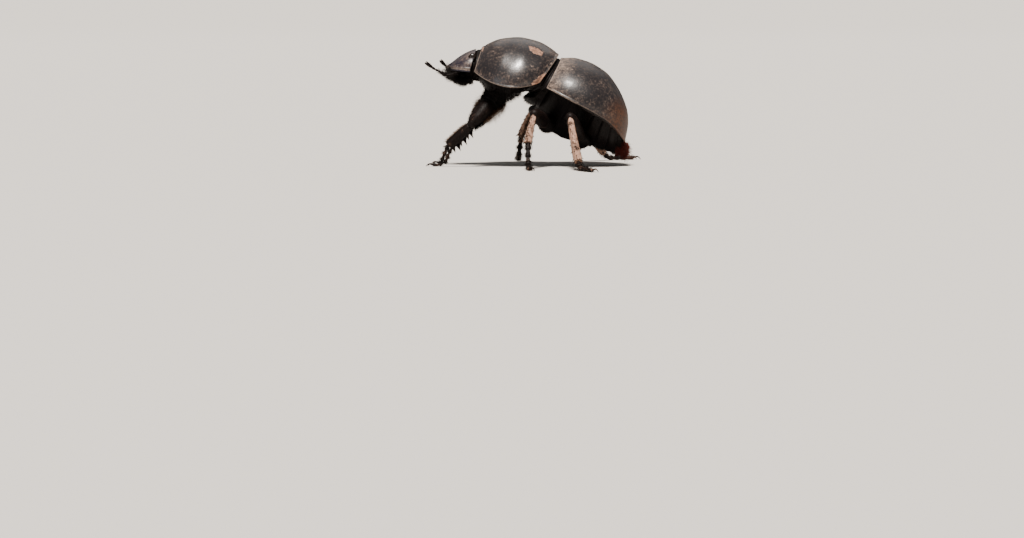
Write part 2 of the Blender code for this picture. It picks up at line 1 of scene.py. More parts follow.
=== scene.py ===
# %% [markdown]
# # A flightless dung beetle
#
# This lesson dresses the plain solids of a large African dung beetle. The animal is a set of hard plates:
# one domed shield over the front body, two fused wing cases over the hind body, a flat shovel of a head,
# and six legs of four pieces each. Every plate is a rolled-up grid whose points follow a short formula,
# which keeps the surface clean and lets fine things, such as a raised border, be added by distance from an
# edge.

# %% Load the frame
import math

import bpy
import numpy as np
from mathutils import Matrix, Vector


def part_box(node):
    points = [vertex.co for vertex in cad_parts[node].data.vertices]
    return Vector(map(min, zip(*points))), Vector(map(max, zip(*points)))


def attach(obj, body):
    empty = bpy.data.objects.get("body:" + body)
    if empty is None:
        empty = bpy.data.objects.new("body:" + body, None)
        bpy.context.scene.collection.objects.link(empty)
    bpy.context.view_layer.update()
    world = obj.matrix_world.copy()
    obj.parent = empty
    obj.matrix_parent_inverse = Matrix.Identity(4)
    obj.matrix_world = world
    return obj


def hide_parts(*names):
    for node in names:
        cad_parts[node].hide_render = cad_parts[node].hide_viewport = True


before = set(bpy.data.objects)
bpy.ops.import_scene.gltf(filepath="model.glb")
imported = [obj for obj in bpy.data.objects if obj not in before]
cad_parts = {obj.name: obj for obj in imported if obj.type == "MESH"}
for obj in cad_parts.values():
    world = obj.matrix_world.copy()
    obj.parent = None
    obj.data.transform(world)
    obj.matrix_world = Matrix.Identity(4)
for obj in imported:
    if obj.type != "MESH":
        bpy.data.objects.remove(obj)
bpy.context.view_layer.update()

# %% [markdown]
# ## Sizes
#
# Lengths are in millimetres, and MM turns them into metres. The plates are drawn in the frames that their
# solids were drawn in: u runs backwards along the body, v to the animal's right and w upwards. Most plates
# are an arch with a flat or straight way back under it, and a SPLIT is the share of the ring that the arch
# takes up. The drawing's own origin differs from the model's, which sits under the middle of its footprint,
# so the shift is read off one round hip.

# %% Sizes of the body
MM = 0.001
MERGE_DISTANCE = 2e-6
CREASE_ANGLE = math.radians(38)
GAP, TUCK, JOINT_GAP = 0.3, 0.3, 0.15
SIDES = (("left", -1), ("right", 1))

SHIELD_PLACE, SHIELD_PITCH = (2.7, 15.7), math.radians(8)
SHIELD_FRONT = -12.5
SHIELD_WIDTHS = ((0, 6.2), (0.15, 8.5), (0.35, 10.6), (0.62, 11.7), (0.85, 11.0), (1, 9.8))
SHIELD_TOP_FRONT, SHIELD_TOP_REAR = -11.7, 2.95
SHIELD_SPLIT, CASE_SPLIT, CASE_FLOOR, HEAD_SPLIT = 0.8, 0.7, 0.84, 0.7
CHEST_SPLIT, BELLY_SPLIT, TAIL_SPLIT = 0.75, 0.78, 0.75
CASE_PLACE, CASE_PITCH = (4.0, 15.0), math.radians(28)
CASE_LENGTH, CASE_WIDEST_AT, CASE_HALF_WIDTH = 18.2, 6.0, 11.9
CASE_ARC_RADIUS, SEAM_GAP = 9.5, 0.06
CASE_CREST = ((0, 6.2), (2.9, 7.6), (6, 8.05), (8.5, 7.85), (11.7, 6.55), (15.5, 3.6), (17.1, 1.2),
              (18.2, -2.1))
CASE_EDGE = ((0, 0), (9, 0.1), (12, 0), (14.9, -0.6), (17.4, -1.9), (18.2, -2.3))
BELLY_DEPTH = ((0, 4.4), (3.6, 6.9), (6.7, 6.9), (9.6, 6.3), (13, 5.2), (15.5, 3.8), (17.4, 1.9))
BREAST_END, BELLY_END, BELLY_INSET = 7.4, 17.4, 0.9
TAIL_HALF_WIDTH, TAIL_LEAN = 4.2, 0.5
HEAD_PLACE, HEAD_PITCH = (-9.6, 18.3), math.radians(5)
HEAD_FRONT, HEAD_REAR, HEAD_HALF_WIDTH = -4.8, -0.78, 5.5
HEAD_CREST = ((-4.8, 0.15), (-4.3, 0.95), (-3.8, 1.45), (-2.7, 2.4), (-1.2, 3.4), (0.1, 4.0))
HEAD_WALL, HEAD_NECK, HEAD_EDGE_THICKNESS = 0.06, 0.88, 0.5
EYE_PLACE, EYE_RADII = (-0.55, 4.0, 2.2), (0.72, 0.6, 0.9)

# %% Poses and sizes of the legs
LEGS = {
    "front_left": ((-5.6, -3.8, 13.2), (-10.0, -7.3, 8.2), (-14.6, -5.3, 4.0),
                   ((-15.4, -5.0, 2.1), (-16.2, -4.8, 0.36), (-17.4, -4.6, 0.24))),
    "front_right": ((-5.6, 3.8, 13.2), (-9.6, 7.4, 8.1), (-13.8, 5.5, 3.8),
                    ((-14.6, 5.2, 2.0), (-15.4, 5.0, 0.36), (-16.6, 4.8, 0.24))),
    "middle_left": ((4.2, -4.8, 8.1), (1.7, -12.3, 10.2), (0.5, -17.2, 4.9),
                    ((0.5, -18.9, 2.3), (0.6, -20.8, 0.45), (0.9, -23.2, 0.34))),
    "middle_right": ((4.2, 4.8, 8.1), (1.5, 12.3, 10.2), (-0.7, 17.0, 5.0),
                     ((-1.0, 18.7, 2.3), (-1.2, 20.5, 0.45), (-1.3, 22.9, 0.34))),
    "hind_left": ((10.6, -4.4, 5.2), (8.4, -12.8, 9.6), (9.8, -22.0, 1.6),
                  ((10.2, -23.8, 0.5), (10.9, -26.2, 0.45), (12.2, -28.9, 0.34))),
    "hind_right": ((10.6, 4.4, 5.2), (9.4, 12.8, 9.4), (15.4, 20.6, 1.6),
                   ((16.7, 22.1, 0.5), (18.7, 23.8, 0.45), (21.4, 25.3, 0.34))),
}
LEG_SIZES = {
    "front": {"hip": 2.15, "thigh": (1.75, 1.45), "shank": (1.0, 0.6)},
    "middle": {"hip": 1.75, "thigh": (1.5, 1.1), "shank": (0.68, 0.62)},
    "hind": {"hip": 1.85, "thigh": (1.75, 1.3), "shank": (0.86, 0.68)},
}
THIGH_GIRTH = ((0, 0.72), (0.12, 0.92), (0.42, 1), (0.75, 0.9), (1, 0.58))
SHANK_GIRTH = ((0, 0.55), (0.1, 0.8), (0.5, 0.95), (0.9, 1.12), (1, 0.98))
FRONT_SHANK_GIRTH = ((0, 0.62), (0.1, 0.78), (0.5, 0.9), (1, 0.84))
FRONT_SHANK_TEETH, FRONT_TOOTH_LENGTH = (0.3, 0.62, 0.92), 1.15
KNEE_RADIUS = 0.85
FOOT_JOINTS, FOOT_RADIUS = 5, 0.46
FOOT_JOINT_GIRTH = ((0, 0.6), (0.12, 0.74), (0.5, 0.88), (0.85, 1.15), (0.95, 1.06), (1, 0.75))
LAST_JOINT_GIRTH = ((0, 0.6), (0.15, 0.66), (0.7, 0.85), (0.95, 0.9), (1, 0.55))
CLAW_LENGTH, CLAW_RADIUS = 1.25, 0.2
THORN_ROWS = ((0.0, 9), (0.25, 6), (0.5, 8), (0.75, 5))

hip_low, hip_high = (Vector(corner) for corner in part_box("coxa_front_left"))
SHIFT = (hip_low + hip_high) / 2 / MM - Vector(LEGS["front_left"][0])
SHIFT.z = 0
print("shift of the drawing, mm:", [round(c, 3) for c in SHIFT])

# %% [markdown]
# ## Small tools
#
# A table of pairs is turned into a smooth curve that never swings past its points, which is how all the
# outlines above are meant. Everything works on whole arrays, so a plate of twenty thousand points is shaped
# in one go.


# %% Curves through named sizes
def smooth(table, x):
    xs, ys = (np.array(column, float) for column in zip(*table))
    x = np.clip(x, xs[0], xs[-1])
    steps = np.diff(xs)
    slopes = np.diff(ys) / steps
    both = slopes[:-1] * slopes[1:]
    inner = np.where(both > 0, 2 * both / np.where(both > 0, slopes[:-1] + slopes[1:], 1), 0)
    tangents = np.concatenate([slopes[:1], inner, slopes[-1:]])
    i = np.clip(np.searchsorted(xs, x, side="right") - 1, 0, len(steps) - 1)
    t = (x - xs[i]) / steps[i]
    start = ys[i] * (2 * t**3 - 3 * t**2 + 1) + tangents[i] * steps[i] * (t**3 - 2 * t**2 + t)
    return start + ys[i + 1] * (3 * t**2 - 2 * t**3) + tangents[i + 1] * steps[i] * (t**3 - t**2)


def lerp(a, b, t):
    return a + (b - a) * t


def ramp(x, start, end):
    t = np.clip((x - start) / (end - start), 0, 1)
    return t * t * (3 - 2 * t)


def bump_at(x, centre, width):
    return np.exp(-(((x - centre) / width) ** 2))


def blunt(x, power=0.7):
    """A power that keeps the sign, which makes an oval squarer."""
    return np.sign(x) * np.abs(x) ** power


def unit(vectors):
    return vectors / np.maximum(np.linalg.norm(vectors, axis=-1, keepdims=True), 1e-12)


def arch(t, split):
    """Whether t is on the arch, the half turn there, and the way back under it from -1 to 1."""
    return t <= split, np.pi * np.clip(t / split, 0, 1), np.clip((t - split) / (1 - split), 0, 1) * 2 - 1


def plate_points(place, pitch, u, v, w):
    """Points of a plate's own frame, in the drawing's frame."""
    x = place[0] + u * math.cos(pitch) + w * math.sin(pitch)
    z = place[1] - u * math.sin(pitch) + w * math.cos(pitch)
    return np.stack(np.broadcast_arrays(x, v, z), axis=-1)


# %% [markdown]
# A grid is the best start for a plate, because its two directions become "along the body" and "around it".
# It is rolled into a tube by its shape formula, its seam is merged, its two ends are filled, and a relief
# pushes points out or in along the surface's own normal: borders, grooves and dents are made this way and
# not by eye.


# %% Roll a grid into a closed piece
def deselect_all():
    if bpy.context.mode != "OBJECT":
        bpy.ops.object.mode_set(mode="OBJECT")
    bpy.ops.object.select_all(action="DESELECT")


def surface(shape, s, t, relief=None):
    """Points of a shape on a lattice of s and t, pushed out along its normals by its relief."""
    points = shape(s, t)
    if relief is None:
        return points
    normals = unit(np.cross(np.gradient(points, axis=0), np.gradient(points, axis=1)))
    if (normals * (points - points.mean(axis=(0, 1)))).sum() < 0:
        normals = -normals
    return points + normals * relief(s, t)[..., None]


def rolled(name, rows, columns, shape, relief=None, marks=None):
    """marks holds functions of (s, t) by name, whose values become attributes of the points."""
    deselect_all()
    bpy.ops.mesh.primitive_grid_add(x_subdivisions=rows, y_subdivisions=columns, size=1)
    piece = bpy.context.object
    piece.name = piece.data.name = name
    along, around = np.meshgrid(np.linspace(0, 1, rows + 1), np.linspace(0, 1, columns + 1))
    points = surface(shape, along, around, relief) + np.array(SHIFT)
    points[..., 2] = np.maximum(points[..., 2], 0)
    piece.data.vertices.foreach_set("co", (points * MM).ravel())
    for mark, value in (marks or {}).items():
        layer = piece.data.attributes.new(mark, "FLOAT", "POINT")
        layer.data.foreach_set("value", np.clip(value(along, around), 0, 1).ravel())
    close_up(piece)
    return piece


def close_up(piece):
    """Merges the seam, fills open ends and turns all faces outwards."""
    deselect_all()
    piece.select_set(True)
    bpy.context.view_layer.objects.active = piece
    bpy.ops.object.mode_set(mode="EDIT")
    bpy.ops.mesh.select_all(action="SELECT")
    bpy.ops.mesh.remove_doubles(threshold=MERGE_DISTANCE)
    bpy.ops.mesh.fill_holes(sides=0)
    bpy.ops.mesh.normals_make_consistent(inside=False)
    bpy.ops.object.mode_set(mode="OBJECT")
    bpy.ops.object.shade_smooth_by_angle(angle=CREASE_ANGLE)


def join(name, pieces):
    deselect_all()
    for piece in pieces:
        piece.select_set(True)
    bpy.context.view_layer.objects.active = pieces[0]
    if len(pieces) > 1:
        bpy.ops.object.join()
    pieces[0].name = pieces[0].data.name = name
    return pieces[0]


def cut(piece, cutters):
    """Takes each cutter's shape out of a piece and deletes the cutter."""
    for cutter in cutters:
        modifier = piece.modifiers.new("cut", "BOOLEAN")
        modifier.operation, modifier.object, modifier.solver = "DIFFERENCE", cutter, "EXACT"
        deselect_all()
        bpy.context.view_layer.objects.active = piece
        bpy.ops.object.modifier_apply(modifier=modifier.name)
        bpy.data.objects.remove(cutter)
    bpy.ops.object.shade_smooth_by_angle(angle=CREASE_ANGLE)


def settle(piece, paint, slot, *nodes):
    """Gives a piece its finish and its place in the frame, and prints its size."""
    piece.data.materials.clear()
    piece.data.materials.append(paint)
    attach(piece, "root")
    if nodes:
        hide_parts(*nodes)
    size = [round(side / MM, 1) for side in piece.dimensions]
    print(f"{piece.name}: {len(piece.data.polygons)} faces, {size} mm")


# %% [markdown]
# Ovals, such as the eyes and the sockets cut for eyes and hips, start as a UV sphere primitive, which is
# stretched and turned in its mesh. A limb is a rolled grid around a centre line, with its half width and
# half depth given along and around it.


# %% Ovals and limbs
def oval(name, centre, radii, turn=None):
    deselect_all()
    bpy.ops.mesh.primitive_uv_sphere_add(segments=48, ring_count=32, radius=1)
    piece = bpy.context.object
    piece.name = piece.data.name = name
    place = Matrix.Translation((Vector(centre) + SHIFT) * MM) @ (turn or Matrix()).to_4x4()
    piece.data.transform(place @ Matrix.Diagonal((*(Vector(radii) * MM), 1)))
    bpy.ops.object.shade_smooth()
    return piece


def line_through(way, count=60):
    """Evenly spread points on a smooth curve through a few points, as an array."""
    way = np.array(way, float)
    reach = np.concatenate([[0], np.cumsum(np.linalg.norm(np.diff(way, axis=0), axis=1))])
    stops = np.linspace(0, reach[-1], count)
    return np.stack([smooth(list(zip(reach, way[:, axis])), stops) for axis in range(3)], axis=1)


def straight(start, end, count=60):
    return start + (end - start) * np.linspace(0, 1, count)[:, None]


def limb_shape(line, across, width, depth, push=None):
    """s runs along a centre line and t round it. width, depth and push are functions of s and the turn."""
    line = np.array(line, float)
    stops = np.linspace(0, 1, len(line))
    ways = unit(np.gradient(line, axis=0))
    across = np.array(across, float)

    def shape(s, t):
        centre = np.stack([np.interp(s, stops, line[:, axis]) for axis in range(3)], axis=-1)
        way = unit(np.stack([np.interp(s, stops, ways[:, axis]) for axis in range(3)], axis=-1))
        side = unit(across - way * (way @ across)[..., None])
        up = np.cross(way, side)
        turn = 2 * np.pi * t
        out, high = width(s, turn) * np.cos(turn), depth(s, turn) * np.sin(turn)
        points = centre + side * out[..., None] + up * high[..., None]
        return points if push is None else points + way * push(s, turn)[..., None]

    return shape


def swelling(table, size=1.0):
    """A girth that follows a table of pairs along a limb."""
    return lambda s, turn: size * smooth(table, s)


def taper(radius, reach=1.02, power=0.6):
    """A girth that shrinks to a fine tip."""
    return lambda s, turn: radius * (reach - s) ** power


# %% [markdown]
# Hairs and bristles are real meshes: each is a bent, tapering, closed spike, with three sides for a hair
# and six for a thorn. A whole coat is one mesh from arrays. Its map gives each hair a tiny patch at its
# root's place on the skin, for baking colours.


# %% Hairs from arrays
PATCH = 0.003


def hairs(name, roots, ways, lengths, thickness, bend, places, sides=3, rings=4):
    """roots, ways and bend are in the drawing's frame, in millimetres; places are the roots' s and t."""
    count = len(roots)
    ways = unit(ways)
    side = unit(np.cross(ways, unit(bend + 1e-6)))
    up = np.cross(side, ways)
    stops = np.linspace(0, 1, rings)
    points = []
    for stop in stops[:-1]:
        middle = roots + ways * (lengths * stop)[:, None] + bend * (lengths * stop**2)[:, None]
        girth = thickness * (1 - 0.75 * stop)
        for k in range(sides):
            turn = 2 * math.pi * k / sides
            points.append(middle + (side * math.cos(turn) + up * math.sin(turn)) * girth)
    points.append(roots + ways * lengths[:, None] + bend * lengths[:, None])
    points = np.stack(points, axis=1) + np.array(SHIFT)
    points[..., 2] = np.maximum(points[..., 2], 0.02)
    per_hair = points.shape[1]
    faces = []
    for ring in range(rings - 2):
        for k in range(sides):
            a, b = ring * sides + k, ring * sides + (k + 1) % sides
            faces += [(a, b, b + sides), (a, b + sides, a + sides)]
    last = (rings - 2) * sides
    faces += [(last + k, last + (k + 1) % sides, per_hair - 1) for k in range(sides)]
    faces += [(0, k + 1, k) for k in range(1, sides - 1)]
    faces = np.array(faces)
    everywhere = (faces[None] + np.arange(count)[:, None, None] * per_hair).reshape(-1, 3)
    mesh = bpy.data.meshes.new(name)
    mesh.vertices.add(count * per_hair)
    mesh.vertices.foreach_set("co", (points * MM).ravel())
    mesh.loops.add(everywhere.size)
    mesh.loops.foreach_set("vertex_index", everywhere.ravel().astype(np.int32))
    mesh.polygons.add(len(everywhere))
    mesh.polygons.foreach_set("loop_start", np.arange(0, everywhere.size, 3, dtype=np.int32))
    mesh.update(calc_edges=True)
    corner = np.array([(0, 0), (PATCH, 0), (0, PATCH)])
    patches = np.repeat(places * 0.99 + 0.002, len(faces), axis=0)[:, None, :] + corner[None]
    mesh.uv_layers.new(name="OFBake").data.foreach_set("uv", patches.ravel())
    mesh.shade_smooth()
    piece = bpy.data.objects.new(name, mesh)
    bpy.context.scene.collection.objects.link(piece)
    return piece


def on_skin(shape, s, t, step=1e-3):
    """Points, outward normals and the direction of growing s, at scattered places of a shape."""
    here = shape(s, t)
    along = shape(np.clip(s + step, 0, 1), t) - shape(np.clip(s - step, 0, 1), t)
    around = shape(s, np.mod(t + step, 1)) - shape(s, np.mod(t - step, 1))
    return here, unit(np.cross(along, around)), unit(along)


chance = np.random.default_rng(11)


def spread(count, low, high):
    return chance.uniform(low, high, count)


# %% [markdown]
# ## Finishes
#
# Shader maths is easier to read as a sum than as a web of nodes, so a small class wraps a socket and lets
# Python's own operators add the Math nodes. Colours go through Mix nodes.


# %% Sockets that can be added and multiplied
class Wire:
    def __init__(self, tree, socket):
        self.tree, self.socket = tree, socket

    def math(self, operation, *others):
        node = self.tree.nodes.new("ShaderNodeMath")
        node.operation = operation
        for slot, value in zip(node.inputs, others):
            connect(self.tree, slot, value)
        return Wire(self.tree, node.outputs[0])

    def __add__(self, other):
        return self.math("ADD", self, other)

    def __sub__(self, other):
        return self.math("SUBTRACT", self, other)

    def __mul__(self, other):
        return self.math("MULTIPLY", self, other)

    def __rsub__(self, other):
        return self.math("SUBTRACT", other, self)

    __radd__, __rmul__ = __add__, __mul__


def connect(tree, socket, value):
    if isinstance(value, Wire):
        tree.links.new(value.socket, socket)
    else:
        socket.default_value = value


# %% A material with one method for every other node
class Paint:
    def __init__(self, name, roughness=0.5, coat=0.0, specular=0.5):
        self.material = bpy.data.materials.new(name)
        self.material.use_nodes = True
        self.tree = self.material.node_tree
        self.shader = self.tree.nodes["Principled BSDF"]
        self.set("Roughness", roughness)
        self.set("Coat Weight", coat)
        self.set("Coat Roughness", 0.25)
        self.set("Specular IOR Level", specular)
        self.place = self.node("ShaderNodeTexCoord", output="Object")

    def set(self, socket, value):
        connect(self.tree, self.shader.inputs[socket], value)

    def node(self, kind, settings=None, inputs=None, output=0):
        node = self.tree.nodes.new(kind)
        for key, value in (settings or {}).items():
            if key == "stops":
                ends = node.color_ramp.elements
                for i, (position, shade) in enumerate(value):
                    stop = ends[i] if i < 2 else ends.new(position)
                    stop.position, stop.color = position, (shade, shade, shade, 1)
            else:
                setattr(node, key, value)
        for key, value in (inputs or {}).items():
            socket = next(s for s in node.inputs if s.enabled and key in (s.name, s.identifier))
            connect(self.tree, socket, value)
        outputs = [s for s in node.outputs if s.enabled]
        found = outputs[output] if isinstance(output, int) else next(s for s in outputs if s.name == output)
        return Wire(self.tree, found)

    def mark(self, kind):
        """The value of one of the mesh's attributes."""
        return self.node("ShaderNodeAttribute", {"attribute_name": kind}, None, "Fac")

    def noise(self, size, detail=3.0, roughness=0.55):
        """Noise whose features are about size millimetres across."""
        inputs = {"Vector": self.place, "Scale": 1 / (size * MM), "Detail": detail, "Roughness": roughness}
        return self.node("ShaderNodeTexNoise", None, inputs, "Fac")

    def cells(self, feature, size):
        """Distances in a pattern of cells that are about size millimetres across."""
        inputs = {"Vector": self.place, "Scale": 1 / (size * MM)}
        return self.node("ShaderNodeTexVoronoi", {"feature": feature}, inputs, "Distance")

    def ramp(self, value, *stops):
        return self.node("ShaderNodeValToRGB", {"stops": stops}, {"Fac": value})

    def mix(self, mask, first, second):
        colours = {"Factor": mask, "A": first, "B": second}
        return self.node("ShaderNodeMix", {"data_type": "RGBA"}, colours)

    def bump(self, height, depth, before=None):
        """depth is the height of a full step of the pattern, in millimetres."""
        inputs = {"Height": height, "Distance": depth * MM, "Strength": 1.0}
        if before:
            inputs["Normal"] = before
        return self.node("ShaderNodeBump", None, inputs)


def rgb(red, green, blue):
    return (red, green, blue, 1)


# %% [markdown]
# The back is black chitin with a soft sheen. It is never clean: dry soil lies in its fine pits as a
# grey-brown bloom with pale grains in it. Four sizes of noise give the bloom. Five attributes of the mesh
# say where things are: "border" on a raised rim, "soil" where more dust clings, which on the front of the
# wing cases is also a painted broad highlight and at the rear of the head also a painted pale sheen, "clay"
# on caked or rubbed spots, one on the rear of the wing cases, which turn brown there, partly as the
# chitin's own brown and partly as a painted warm reflection of the ground, and "bare" on inner and lower
# faces and the nape, which stay black and dull. Dust doesn't shine, so it is rougher too. The wing cases
# have a duller paint of their own, and the head a bluer one, whose blue is a painted bluish sheen.


# %% Shell finish
def make_shell(name, dust_level=0.0, blue_sheen=0.0, pit_depth=0.012, gloss=1.0):
    """Chitin under dust. dust_level adds dust, the blue amount paints a bluish sheen into the black, and a
    low gloss takes the shine off.
    """
    paint = Paint(name, specular=0.27)
    rim, soil, clay, brown_and_reflection, bare = (paint.mark(kind) for kind in ("border", "soil", "clay", "brown_and_reflection", "bare"))
    grain, mottle = paint.noise(0.3, 4, 0.6), paint.noise(0.6, 4, 0.62)
    cloud, wide = paint.noise(2.2, 4, 0.6), paint.noise(8.0, 2, 0.5)
    fine = mottle * 0.6 + grain * 0.4

    amount = grain * 0.3 + mottle * 0.42 + cloud * 0.24 + wide * 0.16 + soil * 0.16
    dust = paint.ramp(amount, (0.54 - dust_level, 0.0), (0.62 - dust_level, 0.25), (0.76 - dust_level, 1.0))
    grains = paint.ramp(paint.noise(0.42, 3, 0.6), (0.56, 0.0), (0.63, 1.0)) * (0.2 + soil * 0.6 + dust * 0.5)
    covered = (dust * 0.62 + grains * 0.5) * (1 - brown_and_reflection * 0.95) * (1 - bare)
    mask = paint.node("ShaderNodeClamp", None, {"Value": covered})

    # The blue amount gives the black a blue cast: a painted bluish sheen, used on the head.
    black = paint.mix(wide, rgb(0.006, 0.005, 0.006 + blue_sheen), rgb(0.013, 0.011, 0.012 + blue_sheen))
    streaks = paint.ramp(fine, (0.4, 0.0), (0.6, 1.0))
    # The brown at the rear of the wing cases is partly the chitin's own and partly a painted warm reflection
    # of the ground.
    brown = paint.mix(streaks, rgb(0.024, 0.008, 0.003), rgb(0.085, 0.027, 0.008))
    bloom = paint.mix(cloud, rgb(0.10, 0.068, 0.053), rgb(0.26, 0.19, 0.15))
    colour = paint.mix(mask, paint.mix(brown_and_reflection, black, brown), bloom)
    pale = paint.mix(grain, rgb(0.12, 0.083, 0.065), rgb(0.42, 0.33, 0.27))
    colour = paint.mix(rim * (0.3 + grain * 0.5) * (1 - bare), colour, pale)
    caked = paint.ramp(clay * 0.8 + (mottle - 0.5) * 0.9 + (cloud - 0.5) * 0.4, (0.3, 0.0), (0.42, 1.0))
    worn = paint.ramp(fine, (0.38, 0.0), (0.6, 1.0))
    mud = paint.mix(worn, rgb(0.08, 0.036, 0.022), rgb(0.27, 0.145, 0.095))
    paint.set("Base Color", paint.mix(caked, colour, mud))

    dull = mottle * 0.12 + mask * 0.16 + caked * 0.25 + rim * 0.2 + brown_and_reflection * 0.15 + bare * 0.4
    paint.set("Roughness", dull + (0.43 - gloss * 0.17))
    polish = paint.ramp(fine, (0.36, 0.95 * gloss), (0.62, 0.12 * gloss))
    paint.set("Coat Weight", (1 - brown_and_reflection) * (1 - rim) * (1 - soil * 0.7) * (1 - bare) * polish)
    pits = paint.ramp(paint.cells("F1", 0.38), (0.0, 0.0), (0.3, 1.0))
    paint.set("Normal", paint.bump(grain + caked * 1.6, 0.03, paint.bump(pits, pit_depth)))
    return paint.material


shell_paint = make_shell("dusty_black_shell", -0.032)
case_paint = make_shell("dusty_case_shell", -0.035, gloss=0.5)
head_paint = make_shell("dusty_head_shell", -0.01, blue_sheen=0.005, pit_depth=0.03)

# %% Underside, leg, eye and hair finishes
def make_underside():
    paint = Paint("dull_black_underside", specular=0.08)
    grain, cloud = paint.noise(0.3, 4), paint.noise(2.0, 3)
    mask = paint.ramp(grain * 0.5 + cloud * 0.5, (0.52, 0.0), (0.75, 1.0))
    # Its black is darker than bare chitin: painted shade, for the deep shadow under the body.
    paint.set("Base Color", paint.mix(mask * 0.3, rgb(0.003, 0.002, 0.002), rgb(0.022, 0.011, 0.008)))
    paint.set("Roughness", 0.48 + mask * 0.3)
    paint.set("Normal", paint.bump(grain, 0.04))
    return paint.material


def make_leg(name, clean, full, soils):
    """Soil starts where the noise is over clean and covers all where it is over full, but not on thorns."""
    paint = Paint(name, specular=0.07)
    grain, cloud = paint.noise(0.2, 4, 0.65), paint.noise(1.6, 3, 0.55)
    mask = paint.ramp(grain * 0.45 + cloud * 0.55, (clean, 0.0), (full, 1.0)) * (1 - paint.mark("bare"))
    # The skin is a black darker than bare chitin: painted shade for the shadow that the shield casts on the
    # front legs, which all the leg finishes share.
    skin = paint.mix(cloud, rgb(0.003, 0.0025, 0.0025), rgb(0.009, 0.005, 0.004))
    soil = paint.mix(paint.noise(0.8, 3), rgb(*soils[0]), rgb(*soils[1]))
    paint.set("Base Color", paint.mix(mask, skin, soil))
    paint.set("Roughness", 0.5 + mask * 0.3)
    paint.set("Normal", paint.bump(grain + mask * 0.8, 0.045))
    return paint.material


def make_eye():
    paint = Paint("glossy_eye", roughness=0.16, coat=0.3)
    facets = paint.ramp(paint.cells("DISTANCE_TO_EDGE", 0.09), (0.0, 0.0), (0.25, 1.0))
    paint.set("Base Color", paint.mix(paint.noise(0.5), rgb(0.004, 0.003, 0.003), rgb(0.011, 0.006, 0.004)))
    paint.set("Normal", paint.bump(facets, 0.006))
    return paint.material


def make_hair(name, dark, light):
    paint = Paint(name, roughness=0.5, specular=0.08)
    mask = paint.ramp(paint.noise(0.3, 3, 0.6), (0.35, 0.0), (0.65, 1.0))
    paint.set("Base Color", paint.mix(mask, rgb(*dark), rgb(*light)))
    return paint.material


underside_paint = make_underside()
dark_leg_paint = make_leg("dark_leg", 0.6, 0.72, ((0.035, 0.02, 0.014), (0.22, 0.135, 0.1)))
dusty_leg_paint = make_leg("dusty_shank", 0.4, 0.53, ((0.20, 0.085, 0.05), (0.46, 0.31, 0.235)))
foot_paint = make_leg("foot", 0.55, 0.68, ((0.09, 0.045, 0.03), (0.30, 0.18, 0.13)))
feeler_paint = make_leg("feeler_brown", 0.62, 0.85, ((0.03, 0.014, 0.009), (0.09, 0.045, 0.03)))
eye_paint = make_eye()
black_hair = make_hair("black_hair", (0.003, 0.0025, 0.0025), (0.009, 0.006, 0.005))
brown_hair = make_hair("brown_hair", (0.030, 0.014, 0.008), (0.15, 0.085, 0.05))
rust_hair = make_hair("rust_hair", (0.010, 0.004, 0.003), (0.13, 0.022, 0.016))
print("finishes:", [finish.name for finish in bpy.data.materials if finish.users])

# %% [markdown]
# ## The front shield
#
# The pronotum is one dome, wider than long, with a fine raised border that runs along its sides and both
# ends. The cross-section is half an oval that leans back with its height, so that the shield's rear face is
# the slanting wall of the cleft before the wing cases. The grid's lines are packed near the rim, where the
# border needs them.


# %% Shape of the shield
def shield_edge(u):
    return -1.4 + 0.045 * (u + 6) ** 2


def shield_crest(u):
    return 8.1 * np.sqrt(np.maximum(1 - ((u + 4) / 10) ** 2, 0))


def shield_measures(s, t):
    """What the shape, the relief and the marks of the shield all need."""
    s = smooth(((0, 0), (0.1, 0.045), (0.9, 0.955), (1, 1)), s)
    part = np.clip(t / SHIELD_SPLIT, 0, 1)
    turn = np.pi * smooth(((0, 0), (0.14, 0.02), (0.86, 0.98), (1, 1)), part)
    edge_u, top_u = lerp(SHIELD_FRONT, 0, s), lerp(SHIELD_TOP_FRONT, SHIELD_TOP_REAR, s)
    edge = shield_edge(edge_u)
    return s, turn, edge_u, top_u, edge, shield_crest(top_u) - edge


def shield_shape(s, t):
    s, turn, edge_u, top_u, edge, rise = shield_measures(s, t)
    over, _, across = arch(t, SHIELD_SPLIT)
    half = smooth(SHIELD_WIDTHS, s)
    u = np.where(over, lerp(edge_u, top_u, np.sin(turn)), edge_u)
    v = half * np.where(over, np.cos(turn), across)
    w = np.where(over, edge + rise * np.sin(turn), edge + 0.5 * (1 - across**2))
    return plate_points(SHIELD_PLACE, SHIELD_PITCH, u, v, w)


def border(distance, height=0.15):
    """A rounded rim and the fine groove inside it, by distance from a plate's edge."""
    return height * bump_at(distance, 0.15, 0.15) - 0.45 * height * bump_at(distance, 0.5, 0.14)


def spot(s, t, place, reach, slant=0.0):
    """A patch with a firm edge, 1 inside, at a place of the grid."""
    along = (s - place[0]) / reach[0]
    across = (t - place[1] - slant * (s - place[0])) / reach[1]
    return np.exp(-((along**2 + across**2) ** 2))


def shield_scar(s, t):
    return spot(s, t, (0.67, 0.486), (0.088, 0.016), 0.09)


def shield_distance(s, t):
    """Millimetres from the shield's rim: up its side or in from an end, whichever is less."""
    q, turn, _, _, _, rise = shield_measures(s, t)
    return np.minimum(rise * np.sin(turn), np.minimum(q * 13.5, (1 - q) * 14))


def shield_over(t):
    return ramp(t, SHIELD_SPLIT + 0.02, SHIELD_SPLIT - 0.02)


